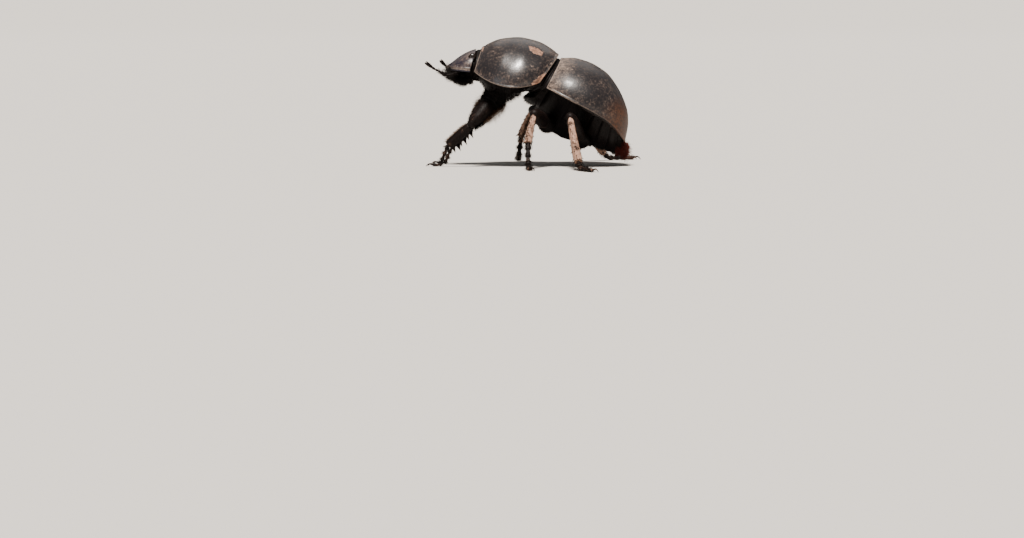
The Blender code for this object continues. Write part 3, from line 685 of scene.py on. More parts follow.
def shield_relief(s, t):
    q, turn, *_ = shield_measures(s, t)
    distance = shield_distance(s, t)
    swell = 0.03 * np.sin(q * 23 + 3 * np.cos(turn)) * np.sin(turn * 7) * ramp(distance, 0.4, 2)
    return (border(distance, 0.07) + swell - 0.07 * shield_scar(s, t)) * shield_over(t)


def shield_border(s, t):
    return ramp(shield_distance(s, t), 0.2, 0.07) * shield_over(t)


def shield_soil(s, t):
    q, turn, _, _, _, rise = shield_measures(s, t)
    high = np.sin(turn)
    return 0.25 * ramp(q, 0.8, 1) + 0.1 * ramp(rise * high, 1.2, 0.2) + 0.35 * ramp(high, 0.85, 1)


def shield_clay(s, t):
    """A rubbed scar high on the back, and caked soil by the left rear corner and at the front edge."""
    _, turn, _, _, _, rise = shield_measures(s, t)
    corner = spot(s, rise * np.sin(turn), (0.905, 0.95), (0.12, 1.15), 3.0) * (t > 0.4)
    return shield_scar(s, t) + 0.8 * corner + 0.5 * spot(s, t, (0.05, 0.46), (0.03, 0.04))


def shield_bare(s, t):
    return np.maximum(ramp(t, SHIELD_SPLIT - 0.01, SHIELD_SPLIT + 0.01), (s <= 0) | (s >= 1))


shield = rolled("shield_dome", 150, 190, shield_shape, shield_relief,
                {"border": shield_border, "soil": shield_soil, "clay": shield_clay, "bare": shield_bare})
settle(shield, shell_paint, "shell", "pronotum")

# %% [markdown]
# ## The wing cases
#
# In this flightless beetle the two elytra are grown together along a seam and make one rigid dome. Each is
# rolled from its own grid: an outer arch from the side margin up to the seam, a wall down the seam, and a
# flat floor. The seam's lip is rounded so that it catches the light, and a few shallow lines run along each
# case.


# %% Shape of a wing case
def case_width(u):
    front = np.clip(1 - ((CASE_WIDEST_AT - u) / 10.0) ** 2, 0, None)
    back = np.clip((u - CASE_WIDEST_AT) / (CASE_LENGTH - CASE_WIDEST_AT), 0, None)
    rear = np.clip(1 - back**2.2, 0, None)
    return CASE_HALF_WIDTH * np.sqrt(np.where(u < CASE_WIDEST_AT, front, rear))


def case_measures(s, t):
    u = CASE_LENGTH * np.sin(np.radians(88.5) * smooth(((0, 0), (0.08, 0.025), (0.9, 0.92), (1, 1)), s))
    part = np.clip(t / CASE_SPLIT, 0, 1)
    turn = np.pi / 2 * smooth(((0, 0), (0.16, 0.04), (0.88, 0.975), (1, 1)), part)
    half = np.maximum(case_width(u), 0.6)
    edge = smooth(CASE_EDGE, u)
    return u, turn, half, edge, smooth(CASE_CREST, u) - edge


def case_shape(side):
    def shape(s, t):
        u, turn, half, edge, rise = case_measures(s, t)
        wall = np.clip((t - CASE_SPLIT) / (CASE_FLOOR - CASE_SPLIT), 0, 1)
        back = np.clip((t - CASE_FLOOR) / (1 - CASE_FLOOR), 0, 1)
        over = t <= CASE_SPLIT
        v = lerp(SEAM_GAP / 2, half, np.where(over, np.cos(turn), back))
        w = edge + rise * np.where(over, np.sin(turn), 1 - wall)
        return plate_points(CASE_PLACE, CASE_PITCH, u, side * v, w)

    return shape


def case_distance(s, t):
    u, turn, _, _, rise = case_measures(s, t)
    return np.minimum(rise * np.sin(turn), u * 1.05)


def case_relief(s, t):
    u, turn, half, *_ = case_measures(s, t)
    arc = turn * CASE_ARC_RADIUS
    lines = sum(bump_at(arc, (0.3 + 0.135 * k) * np.pi / 2 * CASE_ARC_RADIUS, 0.09) for k in range(6))
    middle = ramp(u, 0.8, 2.5) * ramp(u, 17.5, 15.5)
    swell = 0.025 * np.sin(u * 1.3 + 4 * np.cos(turn)) * np.sin(turn * 6) * middle
    rim = border(case_distance(s, t), lerp(0.02, 0.07, ramp(u, 0.6, 1.6)))
    seam = -0.12 * np.exp(-half * np.cos(turn) / 0.14)
    return (rim + seam - 0.018 * lines * middle + swell) * ramp(t, CASE_SPLIT + 0.005, CASE_SPLIT)


# More soil at the front of each case, which is dust there and also a painted broad highlight, and more along
# the lower rim and on the crest.
def case_dust_and_highlight(s, t):
    u, turn, _, _, rise = case_measures(s, t)
    high = np.sin(turn)
    return 0.9 * ramp(u, 4.0, 0.3) + 0.3 * ramp(rise * high, 2.0, 0.3) + 0.2 * ramp(high, 0.9, 1)


def case_border(s, t):
    u, *_ = case_measures(s, t)
    near = ramp(case_distance(s, t), 0.2, 0.07) * ramp(t, CASE_SPLIT + 0.02, CASE_SPLIT)
    return near * (0.2 + 0.6 * ramp(u, 14, 6))


def case_bare(s, t):
    return np.maximum(ramp(t, CASE_SPLIT, CASE_SPLIT + 0.01), s <= 0)


# The rear of the wing cases turns brown: partly the chitin's own brown, partly a painted warm reflection of
# the ground.
def case_brown_and_reflection(s, t):
    u, turn, *_ = case_measures(s, t)
    return ramp(u + 3 * np.cos(turn), 13.5, 18.5)


for name, side in SIDES:
    case = rolled("wing_case_" + name, 150, 150, case_shape(side), case_relief,
                  {"border": case_border, "soil": case_dust_and_highlight, "brown_and_reflection": case_brown_and_reflection, "bare": case_bare})
    settle(case, case_paint, "shell", "elytron_" + name)

# %% [markdown]
# ## The head
#
# Seen from above the head is a half-moon shovel. Its thin front rim is turned up a little and has two blunt
# teeth in the middle; behind them runs a faint seam on each side, where the cheek joins. The neck end is
# narrower, so that the head can tuck under the shield. The eyes sit at the rear corners, half above and
# half below the cheek.


# %% Shape of the head
def head_lean(u, w):
    return 0.2 * np.maximum(w, 0) * (u - HEAD_FRONT) / (HEAD_REAR - HEAD_FRONT)


def head_measures(s, t):
    body = smooth(((0, 0.002), (0.3, 0.06), (0.65, 0.4), (0.93, 0.96), (1, 1)), np.clip(s / HEAD_NECK, 0, 1))
    inset, nape = np.clip((s - HEAD_NECK) / 0.05, 0, 1), np.clip((s - 0.93) / 0.07, 0, 1)
    scale = 1 - 0.2 * inset - 0.03 * nape
    u = lerp(HEAD_FRONT, HEAD_REAR, body)
    half = HEAD_HALF_WIDTH * np.sqrt(1 - (1 - body) ** 2.1) * scale
    crest = smooth(HEAD_CREST, u + head_lean(u, 3.5)) * scale
    turn = np.pi * smooth(((0, 0), (0.16, 0.03), (0.84, 0.97), (1, 1)), np.clip(t / HEAD_SPLIT, 0, 1))
    return u, half, crest, turn, 0.5 * nape, scale


def head_wall(t):
    """0 on the crown and at the rim, and 1 from the foot of the rim's wall on, all over the lower face."""
    return np.clip(np.minimum(t - HEAD_SPLIT, 1 - t) / HEAD_WALL, 0, 1)


def head_shape(s, t):
    u, half, crest, turn, back, scale = head_measures(s, t)
    over = t <= HEAD_SPLIT
    under = np.clip((t - HEAD_SPLIT - HEAD_WALL) / (1 - HEAD_SPLIT - 2 * HEAD_WALL), 0, 1)
    w = np.where(over, crest * np.sin(turn) ** 0.85, -HEAD_EDGE_THICKNESS * scale * head_wall(t))
    v = half * np.where(over, np.cos(turn), 2 * under - 1)
    lip = bump_at(u, HEAD_FRONT, 0.8) * bump_at(w, 0, 0.8)
    teeth = 0.6 * np.exp(-((np.abs(np.abs(v) - 1.0) / 0.42) ** 2.6)) * lip
    cheek_notch = 0.06 * bump_at(u, -3.1, 0.22) * bump_at(w, 0, 0.6)
    return plate_points(HEAD_PLACE, HEAD_PITCH, u + back + head_lean(u, w) - teeth, v * (1 - cheek_notch), w)


def head_relief(s, t):
    u, half, crest, turn, *_ = head_measures(s, t)
    height, side = crest * np.sin(turn) ** 0.85, half * np.abs(np.cos(turn))
    rim = border(np.where(t <= HEAD_SPLIT, height, 9), 0.07)
    seam = -0.06 * bump_at(u + 0.55 * (side - 2.6), -2.2, 0.13) * ramp(side, 1.6, 2.2)
    crown = ramp(s, HEAD_NECK, HEAD_NECK - 0.03) * ramp(t, HEAD_SPLIT + 0.005, HEAD_SPLIT)
    return (rim + seam * ramp(height, 0.2, 0.6)) * crown


def head_border(s, t):
    _, _, crest, turn, *_ = head_measures(s, t)
    rim = ramp(crest * np.sin(turn), 0.2, 0.05)
    return 0.7 * np.where(t < HEAD_SPLIT, rim, ramp(head_wall(t), 0.6, 0.3))


# More soil towards the rear of the head: dust, and also a painted pale sheen there.
def head_dust_and_sheen(s, t):
    return 0.38 * ramp(head_measures(s, t)[0], -3.2, -1.4)


def head_bare(s, t):
    """The lower face, the neck end, and the smooth nape behind and below each eye."""
    x, _, z = np.moveaxis(head_shape(s, t), -1, 0)
    eye_x, _, eye_z = plate_points(HEAD_PLACE, HEAD_PITCH, *EYE_PLACE)
    nape = ramp(x, eye_x - 0.25, eye_x + 0.05) * ramp(z, eye_z + 0.75, eye_z + 0.5)
    neck = ramp(s, HEAD_NECK, HEAD_NECK + 0.005)
    return np.maximum(np.maximum(ramp(head_wall(t), 0.4, 0.7), neck), nape)


head = rolled("head_shield", 110, 150, head_shape, head_relief,
              {"border": head_border, "soil": head_dust_and_sheen, "bare": head_bare})
for name, side in SIDES:
    place = plate_points(HEAD_PLACE, HEAD_PITCH, EYE_PLACE[0], side * EYE_PLACE[1], EYE_PLACE[2])
    lean = Matrix.Rotation(HEAD_PITCH, 3, "Y")
    cut(head, [oval("socket", place, [radius + 0.09 for radius in EYE_RADII], lean)])
    settle(oval("eye_ball_" + name, place, EYE_RADII, lean), eye_paint, "eye", "eye_" + name)
settle(head, head_paint, "shell", "head")

# %% [markdown]

# ## The underside
#
# Below the shield and the wing cases lies a keel of dull black plates that carry the hips. Each hip turns
# in a rounded socket and each thigh folds into a groove. Both are cut with oval and limb shapes a little
# larger than the hips and thighs themselves, so that an even dark joint line shows all round.


# %% Thighs as shapes, which also cut their own grooves
def leg_frame(leg):
    hip, knee, ankle, foot = (np.array(p) for p in LEGS[leg])
    return leg.split("_")[0], hip, knee, ankle, foot


def thigh_shape(leg, extra=0.0):
    """A thigh with its round knee; extra makes it larger all over, to cut a groove with it."""
    pair, hip, knee, ankle, _ = leg_frame(leg)
    width, depth = LEG_SIZES[pair]["thigh"]
    way = unit(knee - hip)
    start = hip + way * (LEG_SIZES[pair]["hip"] - 0.45 - extra)
    end = knee + way * (KNEE_RADIUS + extra)
    length, reach = np.linalg.norm(end - start), np.linalg.norm(knee - start)
    across = np.cross(np.cross(way, knee - ankle), way)

    def girth(s, size):
        along = s * length
        beyond = np.clip((along - reach) / (length - reach), 0, 1)
        root = np.sqrt(np.clip(1 - (1 - np.clip(along / 0.7, 0, 1)) ** 2, 0, 1)) * 0.35 + 0.65
        body = size * smooth(THIGH_GIRTH, along / reach) * root
        return np.where(along < reach, body, KNEE_RADIUS * np.sqrt(np.clip(1 - beyond**2, 0.0004, 1))) + extra

    def deep(s, turn):
        return np.maximum(girth(s, depth), np.minimum(girth(s, width), 0.7))

    return limb_shape(straight(start, end, 80), across, lambda s, turn: girth(s, width), deep)


def hip_shape(leg):
    """A ball in its socket that narrows outside it towards the thigh, as a pear does."""
    pair, hip, knee, *_ = leg_frame(leg)
    radius = LEG_SIZES[pair]["hip"]
    way = unit(knee - hip)
    neck = LEG_SIZES[pair]["thigh"][1] * 0.92
    ends = (-radius, radius * 1.32)
    line = hip + way * np.linspace(*ends, 60)[:, None]

    def girth(s, turn):
        along = lerp(*ends, s)
        ball = np.sqrt(np.maximum(radius**2 - np.minimum(along, radius * 0.999) ** 2, 0))
        cone = lerp(radius, neck, np.clip(along / ends[1], 0, 1) ** 1.3)
        tip = np.sqrt(np.clip(1 - ((along - ends[1] + 0.6) / 0.6).clip(0, 1) ** 2, 0, 1))
        groove = 1 - 0.06 * bump_at(along, radius * 0.92, 0.12)
        return np.where(along < 0, ball, cone * tip * groove) + 0.01

    return limb_shape(line, np.cross(way, (0, 0, 1)), girth, girth)


def hip_cutters(leg):
    pair, hip, *_ = leg_frame(leg)
    socket = oval("socket", hip, (LEG_SIZES[pair]["hip"] + JOINT_GAP,) * 3)
    return [socket, rolled("groove", 24, 32, thigh_shape(leg, JOINT_GAP))]


# %% Chest plate, body ring and breast plate
def chest_shape(s, t):
    depths = ((0.04, 0.4), (0.15, 0.8), (0.3, 1.8), (0.6, 2.3), (0.82, 1.2), (1, 0.7))
    under, turn, back = arch(t, CHEST_SPLIT)
    s = lerp(0.04, 1, s)
    edge_u = lerp(SHIELD_FRONT, 0, s)
    drop = (smooth(depths, s) + TUCK + 1.4 * GAP) * np.sin(turn)
    w = shield_edge(edge_u) + TUCK - np.where(under, drop, 0)
    v = (smooth(SHIELD_WIDTHS, s) - 2.4) * np.where(under, blunt(np.cos(turn)), back)
    return plate_points(SHIELD_PLACE, SHIELD_PITCH, edge_u + 0.546 * s * w, v, w)


def waist_shape(s, t):
    inset = smooth(((0, 1), (0.6, 1), (0.85, 0.95), (1, 0.8)), s)
    turn = 2 * np.pi * t
    w = inset * np.where(np.sin(turn) > 0, 3.4, 4.3) * np.sin(turn)
    swell = smooth(((-4.2, 1.5), (-3.5, 1.35), (-2.5, 0)), w) * (1 - np.abs(np.cos(turn)) ** 4)
    u = lerp(0.5, -1.0 + 0.155 * w - swell, s)
    return plate_points(CASE_PLACE, CASE_PITCH, u, 8.2 * inset * np.cos(turn), w)


def belly_points(u, t, keel, grow):
    """A ring of the underside. keel pinches it, from 0 to 1, and grow makes it larger."""
    under, turn, back = arch(t, BELLY_SPLIT)
    half = np.maximum(case_width(u) - BELLY_INSET, TAIL_HALF_WIDTH) * grow
    lean = smooth(((BREAST_END + 2, 0), (BELLY_END, TAIL_LEAN)), u)
    across = np.cos(turn)
    full = np.sqrt(np.maximum(1 - across**2, 0))
    pinched = (1 - np.abs(across) ** 1.5) ** 1.9
    drop = (smooth(BELLY_DEPTH, u) * grow + TUCK + 1.4 * GAP) * lerp(full, pinched, keel)
    drop = np.where(under, drop, 0)
    w = smooth(CASE_EDGE, u) + TUCK - drop
    return plate_points(CASE_PLACE, CASE_PITCH, u + lean * drop, half * np.where(under, across, back), w)


def breast_shape(s, t):
    return belly_points(s * BREAST_END, t, 1.0, 1.0)


def breast_relief(s, t):
    middle = BELLY_SPLIT / 2
    lengthwise = 0.12 * bump_at(t, middle, 0.012) * ramp(s, 0.1, 0.3) * ramp(s, 0.98, 0.8)
    crosswise = 0.1 * bump_at(s, 0.72, 0.02) * ramp(np.abs(t - middle), 0.02, 0.08)
    return -lengthwise - crosswise * ramp(t, BELLY_SPLIT, BELLY_SPLIT - 0.03)


def black_piece(name, rows, columns, shape, *nodes, relief=None, pairs=()):
    """Rolls a dull black piece and cuts the joints of the pairs of legs that it carries."""
    piece = rolled(name, rows, columns, shape, relief)
    for pair in pairs:
        for side, _ in SIDES:
            cut(piece, hip_cutters(f"{pair}_{side}"))
    settle(piece, underside_paint, "underside", *nodes)


black_piece("chest_plate", 60, 110, chest_shape, "prosternum", pairs=("front",))
black_piece("body_ring", 24, 90, waist_shape, "mesothorax")
black_piece("breast_plate", 80, 130, breast_shape, "metasternum",
            relief=breast_relief, pairs=("middle", "hind"))

# %% [markdown]
# The abdomen's underside is five rings, and each one's rear edge laps over the next. One formula draws all
# five: the place within a ring sets how far its edge stands proud.

# %% Belly and tail plate
JOINTS = [lerp(BREAST_END + GAP, BELLY_END, (i / 5) ** 0.9) for i in range(6)]
JOINTS[0] = BREAST_END - 0.7


def belly_shape(s, t):
    u = np.interp(s, np.linspace(0, 1, 6), JOINTS)
    within = np.mod(np.clip(s, 0, 0.9999) * 5, 1)
    grow = lerp(0.962, 1, ramp(within, 0.0, 0.3)) + 0.012 * ramp(within, 0.6, 0.95)
    return belly_points(u, t, np.clip(1 - (u - BREAST_END) / 5, 0, 1), grow)


def tail_shape(s, t):
    under, turn, back = arch(t, TAIL_SPLIT)
    reach = np.sqrt(np.maximum(1 - np.clip((s - 0.25) / 0.75, 0, 1) ** 2.6, 0.002))
    u = lerp(BELLY_END - 0.5, BELLY_END + GAP + 0.95, np.clip(s / 0.9, 0, 1) ** 0.8)
    drop = np.where(under, 2.4 * reach * np.sin(turn), 0)
    v = TAIL_HALF_WIDTH * reach * np.where(under, np.cos(turn), back)
    w = CASE_EDGE[-1][1] + 0.1 - 0.5 * (1 - reach) - drop
    return plate_points(CASE_PLACE, CASE_PITCH, u + TAIL_LEAN * drop, v, w)


black_piece("belly_rings", 150, 120, belly_shape, "abdomen", pairs=("hind",))
black_piece("tail_plate", 40, 80, tail_shape, "pygidium")

# %% [markdown]
# A real beetle's plates are joined by soft black skin, folded into the joints, and no light comes through
# them. Two pieces of it show: the neck between the head and the shield, and the waist in the cleft behind
# the shield. Each is a closed collar that starts inside one plate and ends inside the next.


# %% Soft skin of the neck and the waist
def ring(place, pitch, u, half, middle, rises, leans=(0, 0)):
    """An oval ring. rises are its reach over and below its middle, and leans its slant backwards there."""

    def points(turn):
        high = np.sin(turn)
        w = middle + np.where(high > 0, *rises) * high
        slant = np.where(high > 0, *leans) * high
        return plate_points(place, pitch, u + slant, half * np.cos(turn), w)

    return points


def collar(front_ring, rear_ring):
    def shape(s, t):
        turn = 2 * np.pi * t
        return lerp(front_ring(turn), rear_ring(turn), s[..., None])

    return shape


def folds(s, t):
    return 0.05 * np.sin(s * 28) * ramp(np.abs(s - 0.5), 0.5, 0.4)


neck_shape = collar(
    ring(HEAD_PLACE, HEAD_PITCH, HEAD_REAR - 0.6, 4.0, 0.3, (2.75, 2.1)),
    ring(SHIELD_PLACE, SHIELD_PITCH, -10.8, 5.9, 0.6, (4.75, 1.6)),
)
waist_skin_shape = collar(
    ring(SHIELD_PLACE, SHIELD_PITCH, -0.9, 9.0, 0.1, (5.3, 2.0), (2.95, 3.2)),
    ring(CASE_PLACE, CASE_PITCH, 0.7, 9.2, 0.1, (5.8, 1.5)),
)
black_piece("neck_skin", 50, 96, neck_shape, relief=folds)
black_piece("waist_skin", 50, 96, waist_skin_shape, relief=folds)

# %% [markdown]

# ## The legs
#
# A dung beetle's front shank is a rake: a flat blade with three big teeth on its outer edge. The other four
# shanks are slender stilts that roll and steady the ball, edged with short thorns and ending in spurs. Each
# foot is a string of five cup-shaped joints with two hooked claws. All of them are limbs around a centre
# line.


# %% Hips and thighs
for leg in LEGS:
    black_piece("hip_" + leg, 40, 48, hip_shape(leg), "coxa_" + leg)
    settle(rolled("thigh_" + leg, 60, 48, thigh_shape(leg)), dark_leg_paint, "leg", "femur_" + leg)


# %% Shanks
def shank_frame(leg):
    pair, hip, knee, ankle, _ = leg_frame(leg)
    way = unit(ankle - knee)
    across = unit(np.cross(np.cross(way, knee - hip), way))
    return pair, knee + way * (KNEE_RADIUS - 0.3), ankle, way, across


def front_shank_shape(leg):
    _, start, end, way, _ = shank_frame(leg)
    across = unit(np.cross(way, (0, 1, 0)))
    across = -across if across[2] > 0 else across
    width, depth = LEG_SIZES["front"]["shank"]

    def tooth(s):
        """1 at each tooth's tip: a slow rise from the knee side and a steep fall past it."""
        total = 0
        for tip in FRONT_SHANK_TEETH:
            rise = np.clip(1 - (tip - s) / 0.15, 0, 1) ** 1.6
            fall = np.clip(1 - (s - tip) / 0.045, 0, 1)
            total = total + np.where(s < tip, rise, fall)
        return total

    def small_teeth(s):
        return 0.12 * np.clip(np.sin(s * 75), 0, 1) * ramp(tooth(s), 0.4, 0.1)

    def edge(turn):
        return np.maximum(np.cos(turn), 0) ** 6

    def ends(s):
        root = np.clip(1 - s / 0.05, 0, 1) ** 2
        tip = np.clip((s - 0.93) / 0.07, 0, 1) ** 2
        return np.sqrt(np.clip(1 - root - 0.8 * tip, 0.05, 1))

    def wide(s, turn):
        out = (FRONT_TOOTH_LENGTH * tooth(s) + small_teeth(s)) * edge(turn)
        return width * smooth(FRONT_SHANK_GIRTH, s) * ends(s) + out / np.maximum(np.cos(turn), 0.2)

    def deep(s, turn):
        turned = np.mod(turn, np.pi)
        ridge = 1 + 0.25 * bump_at(turned, np.pi / 2, 0.35) + 0.12 * bump_at(turned, 2.4, 0.2)
        return depth * ridge * (1 - 0.35 * tooth(s) * edge(turn)) * ends(s)

    def push(s, turn):
        return 0.35 * tooth(s) * edge(turn)

    return limb_shape(straight(start, end), across, wide, deep, push)


def walking_shank_shape(leg):
    pair, start, end, _, across = shank_frame(leg)
    width, depth = LEG_SIZES[pair]["shank"]
    bow = 0.55 if pair == "hind" else 0.25
    line = straight(start, end) + across * bow * np.sin(np.pi * np.linspace(0, 1, 60))[:, None]

    def girth(size):
        def at(s, turn):
            ends = np.sqrt(np.clip(1 - np.clip(1 - s / 0.04, 0, 1) ** 2, 0.05, 1))
            corners = 1 + 0.09 * np.cos(4 * turn)
            combs = 0.07 * np.clip(np.sin(s * 42), 0, 1) ** 2 * np.clip(np.cos(turn), 0, 1) ** 2
            return size * smooth(SHANK_GIRTH, s) * ends * corners + combs

        return at

    return limb_shape(line, across, girth(width), girth(depth))


def thorns(leg, shape):
    """Rows of short thorns along both edges of a walking shank, and a crown of them round its end."""
    _, start, end, way, _ = shank_frame(leg)
    rows = []
    for turn, count in THORN_ROWS:
        rows += [(s, turn + 0.03 * math.sin(40 * s)) for s in np.linspace(0.16, 0.93, count)]
    rows += [(0.985, k / 9) for k in range(9)]
    s, t = np.array(rows).T
    roots, normals, _ = on_skin(shape, s, np.mod(t, 1))
    centre = start + (end - start) * s[:, None]
    inward = ((roots - centre) * normals).sum(axis=1, keepdims=True) < 0
    normals = np.where(inward, -normals, normals)
    ways = normals * 0.75 + way * 0.8
    lengths = np.where(s > 0.97, 0.75, 0.55) * (0.85 + 0.3 * np.mod(s * 37, 1))
    places = np.full((len(s), 2), 0.5)
    piece = hairs("thorns", roots - normals * 0.08, ways, lengths, 0.13, way * 0.1, places, sides=6)
    layer = piece.data.attributes.new("bare", "FLOAT", "POINT")
    layer.data.foreach_set("value", np.ones(len(piece.data.vertices)))
    return piece


def spur(leg, place, length, sideways):
    _, _, end, way, across = shank_frame(leg)
    up = np.cross(way, across)
    root = end - way * 0.45 + across * place[0] + up * place[1]
    tip = root + unit(way * 0.9 + across * sideways[0] + up * sideways[1]) * length
    tip[2] = max(tip[2], 0.12)
    line = line_through([root, (root + tip) / 2 + way * 0.08, tip])
    return rolled("spur", 24, 16, limb_shape(line, across, taper(0.24), taper(0.2)))


for leg in LEGS:
    pair = leg.split("_")[0]
    width = LEG_SIZES[pair]["shank"][0]
    if pair == "front":
        pieces = [rolled("shank", 150, 56, front_shank_shape(leg)), spur(leg, (0.2, 0.0), 1.5, (-0.2, 0.3))]
        settle(join("rake_shank_" + leg, pieces), dark_leg_paint, "leg", "tibia_" + leg)
        continue
    shape = walking_shank_shape(leg)
    long_spur = spur(leg, (width * 0.5, 0.1), 2.0, (0.75, 0.1))
    pieces = [rolled("shank", 110, 48, shape), long_spur, thorns(leg, shape)]
    if pair == "middle":
        pieces.append(spur(leg, (-width * 0.4, 0.1), 1.5, (-0.5, 0.2)))
    settle(join("shank_piece_" + leg, pieces), dusty_leg_paint, "leg", "tibia_" + leg)


# %% Feet with claws
def foot_line(leg):
    """The line of a foot from its ankle to its claws, and the level direction across it."""
    _, _, knee, ankle, foot = leg_frame(leg)
    line = line_through([ankle - unit(ankle - knee) * 0.25, *foot], 101)
    return line, np.cross((0, 0, 1), line[-1] - line[0])


def foot_joint_shapes(leg):
    """Five cups on a string: each joint is narrow at its root and flares to a rim near its end."""
    radius = FOOT_RADIUS * (0.8 if leg.startswith("front") else 1.0)
    line, level = foot_line(leg)
    shapes = []
    for joint in range(FOOT_JOINTS):
        first, last = joint * 100 // FOOT_JOINTS, (joint + 1) * 100 // FOOT_JOINTS
        part = line_through(line[max(first - 1, 0):last + 1:4], 30)
        profile = LAST_JOINT_GIRTH if joint == FOOT_JOINTS - 1 else FOOT_JOINT_GIRTH
        wide, deep = swelling(profile, radius * 1.08), swelling(profile, radius * 0.95)
        shapes.append(limb_shape(part, level, wide, deep))
    return shapes


def foot_pieces(leg):
    pieces = [rolled("joint", 22, 24, shape) for shape in foot_joint_shapes(leg)]
    line, level = foot_line(leg)
    forward, sideways = unit(line[-1] - line[-12]), unit(level)
    for _, side in SIDES:
        root = line[-1] - forward * 0.25 + sideways * 0.14 * side
        middle = line[-1] + forward * CLAW_LENGTH * 0.5 + sideways * 0.4 * side + np.array((0, 0, 0.3))
        tip = line[-1] + forward * CLAW_LENGTH + sideways * 0.66 * side
        tip[2] = 0.06
        girth = taper(CLAW_RADIUS, 1.03, 0.55)
        claw = limb_shape(line_through([root, middle, tip], 40), sideways, girth, girth)
        pieces.append(rolled("claw", 26, 16, claw))
    return pieces


for leg in LEGS:
    settle(join("foot_" + leg, foot_pieces(leg)), foot_paint, "leg", "tarsus_" + leg)

# %% [markdown]
# ## Feelers and mouth
#
# Each feeler has a long first joint, five small beads and a club of three leaves that fold together like a
# fan. The mouth under the head is a rounded block hidden in dense black hair, with a pair of short jointed
# palps.

# %% Feelers
ACROSS = (0, 1, 0)
FEELERS = {
    "left": ((-12.6, -4.2, 17.15), (-14.6, -4.0, 17.25), (-16.5, -3.7, 18.1), (-17.5, -3.5, 18.65),
             (-18.9, -3.2, 19.7)),
    "right": ((-12.6, 4.2, 17.15), (-13.9, 4.0, 17.3), (-14.7, 3.7, 18.2), (-15.2, 3.5, 18.9),
              (-16.2, 3.2, 20.0)),
}
FEELER_CUTS, FEELER_GIRTHS = (0, 0.38, 0.46, 0.53, 0.6, 0.67, 0.77), ((0.2, 0.3, 1), *((0.2, 0.26, 1),) * 5)
LEAF_WIDTH = ((0, 0.2), (0.3, 0.5), (0.75, 0.58), (0.95, 0.35), (1, 0.1))
LEAF_DEPTH = ((0, 0.08), (0.3, 0.14), (0.75, 0.14), (1, 0.05))
PALPS = {
    "left": ((-14.6, -1.5, 17.25), (-15.4, -1.7, 17.3), (-16.2, -1.6, 17.9)),
    "right": ((-14.6, 1.5, 17.25), (-15.2, 1.8, 17.2), (-15.9, 1.9, 17.7)),
}
PALP_CUTS, PALP_GIRTHS = (0, 0.3, 0.62, 1), ((0.22, 0.26, 1), (0.24, 0.3, 1), (0.28, 0.3, 0.8))


def string_of_parts(way, cuts, girths):
    """Joints along a line. cuts are their ends from 0 to 1; girths hold start, end and flatness of each."""
    line = line_through(way, 201)
    pieces = []
    for first, last, (near, far, flat) in zip(cuts, cuts[1:], girths):
        part = line[round(first * 200):round(last * 200) + 1]
        table = ((0, 0.35 * near), (0.18, near), (0.75, far), (0.93, 0.9 * far), (1, 0.3 * far))
        joint = limb_shape(part, ACROSS, swelling(table), swelling(table, flat))
        pieces.append(rolled("part", 24, 20, joint))
    return pieces


feeler_stems = {}
for name, way in FEELERS.items():
    rooted = [np.array(way[0]) + (0.3, -0.25 * np.sign(way[0][1]), 0.8), *way[1:]]
    parts = string_of_parts(rooted, FEELER_CUTS, FEELER_GIRTHS)
    base, tip = np.array(way[3]), np.array(way[4])
    up = unit(np.cross(tip - base, ACROSS))
    for fan, lift in ((-0.22, 0.0), (0.0, 0.06), (0.22, 0.0)):
        way = [base + up * fan * 0.5, (base + tip) / 2 + up * fan, tip + up * (fan * 0.9 + lift)]
        leaf = limb_shape(line_through(way, 40), ACROSS, swelling(LEAF_WIDTH), swelling(LEAF_DEPTH))
        parts.append(rolled("leaf", 24, 24, leaf))
    settle(join("feeler_" + name, parts), feeler_paint, "feeler", "antenna_" + name)
    even = swelling(((0, 0.25), (1, 0.25)))
    feeler_stems[name] = limb_shape(line_through(rooted, 201)[:125], ACROSS, even, even)
for name, way in PALPS.items():
    parts = string_of_parts(way, PALP_CUTS, PALP_GIRTHS)
    settle(join("mouth_palp_" + name, parts), feeler_paint, "feeler", "palp_" + name)

# %% Mouth block
def mouth_shape(s, t):
    u = lerp(-4.3, -1.1, s)
    half = smooth(((-4.3, 1.5), (-3.3, 2.6), (-2.2, 3.1), (-1.1, 3.0)), u)
    depth = smooth(((-4.3, 0.5), (-3.3, 1.3), (-2.2, 1.75), (-1.1, 1.5)), u)
    turn = 2 * np.pi * t
    w = -HEAD_EDGE_THICKNESS - 0.1 - depth / 2 + depth / 2 * blunt(np.sin(turn))
    v = half * np.cos(turn) * (1 - 0.1 * bump_at(u, -2.8, 0.15))
    return plate_points(HEAD_PLACE, HEAD_PITCH, u, v, w)


black_piece("mouth_block", 50, 60, mouth_shape, "mouthparts")

# %% [markdown]
# ## Hair
#
# Black bristles grow under the head, the neck, the chest and the belly, on the feelers and on all the legs.
# Brown fringes stand on the front hips and thighs, and brown combs on the shanks. The tail plate has a
# ragged dark red brush, and red and black bristles mix at the belly's tip. Each hair keeps to the lie of
# its own plate.


# %% Coats
DENSITY = 1.0


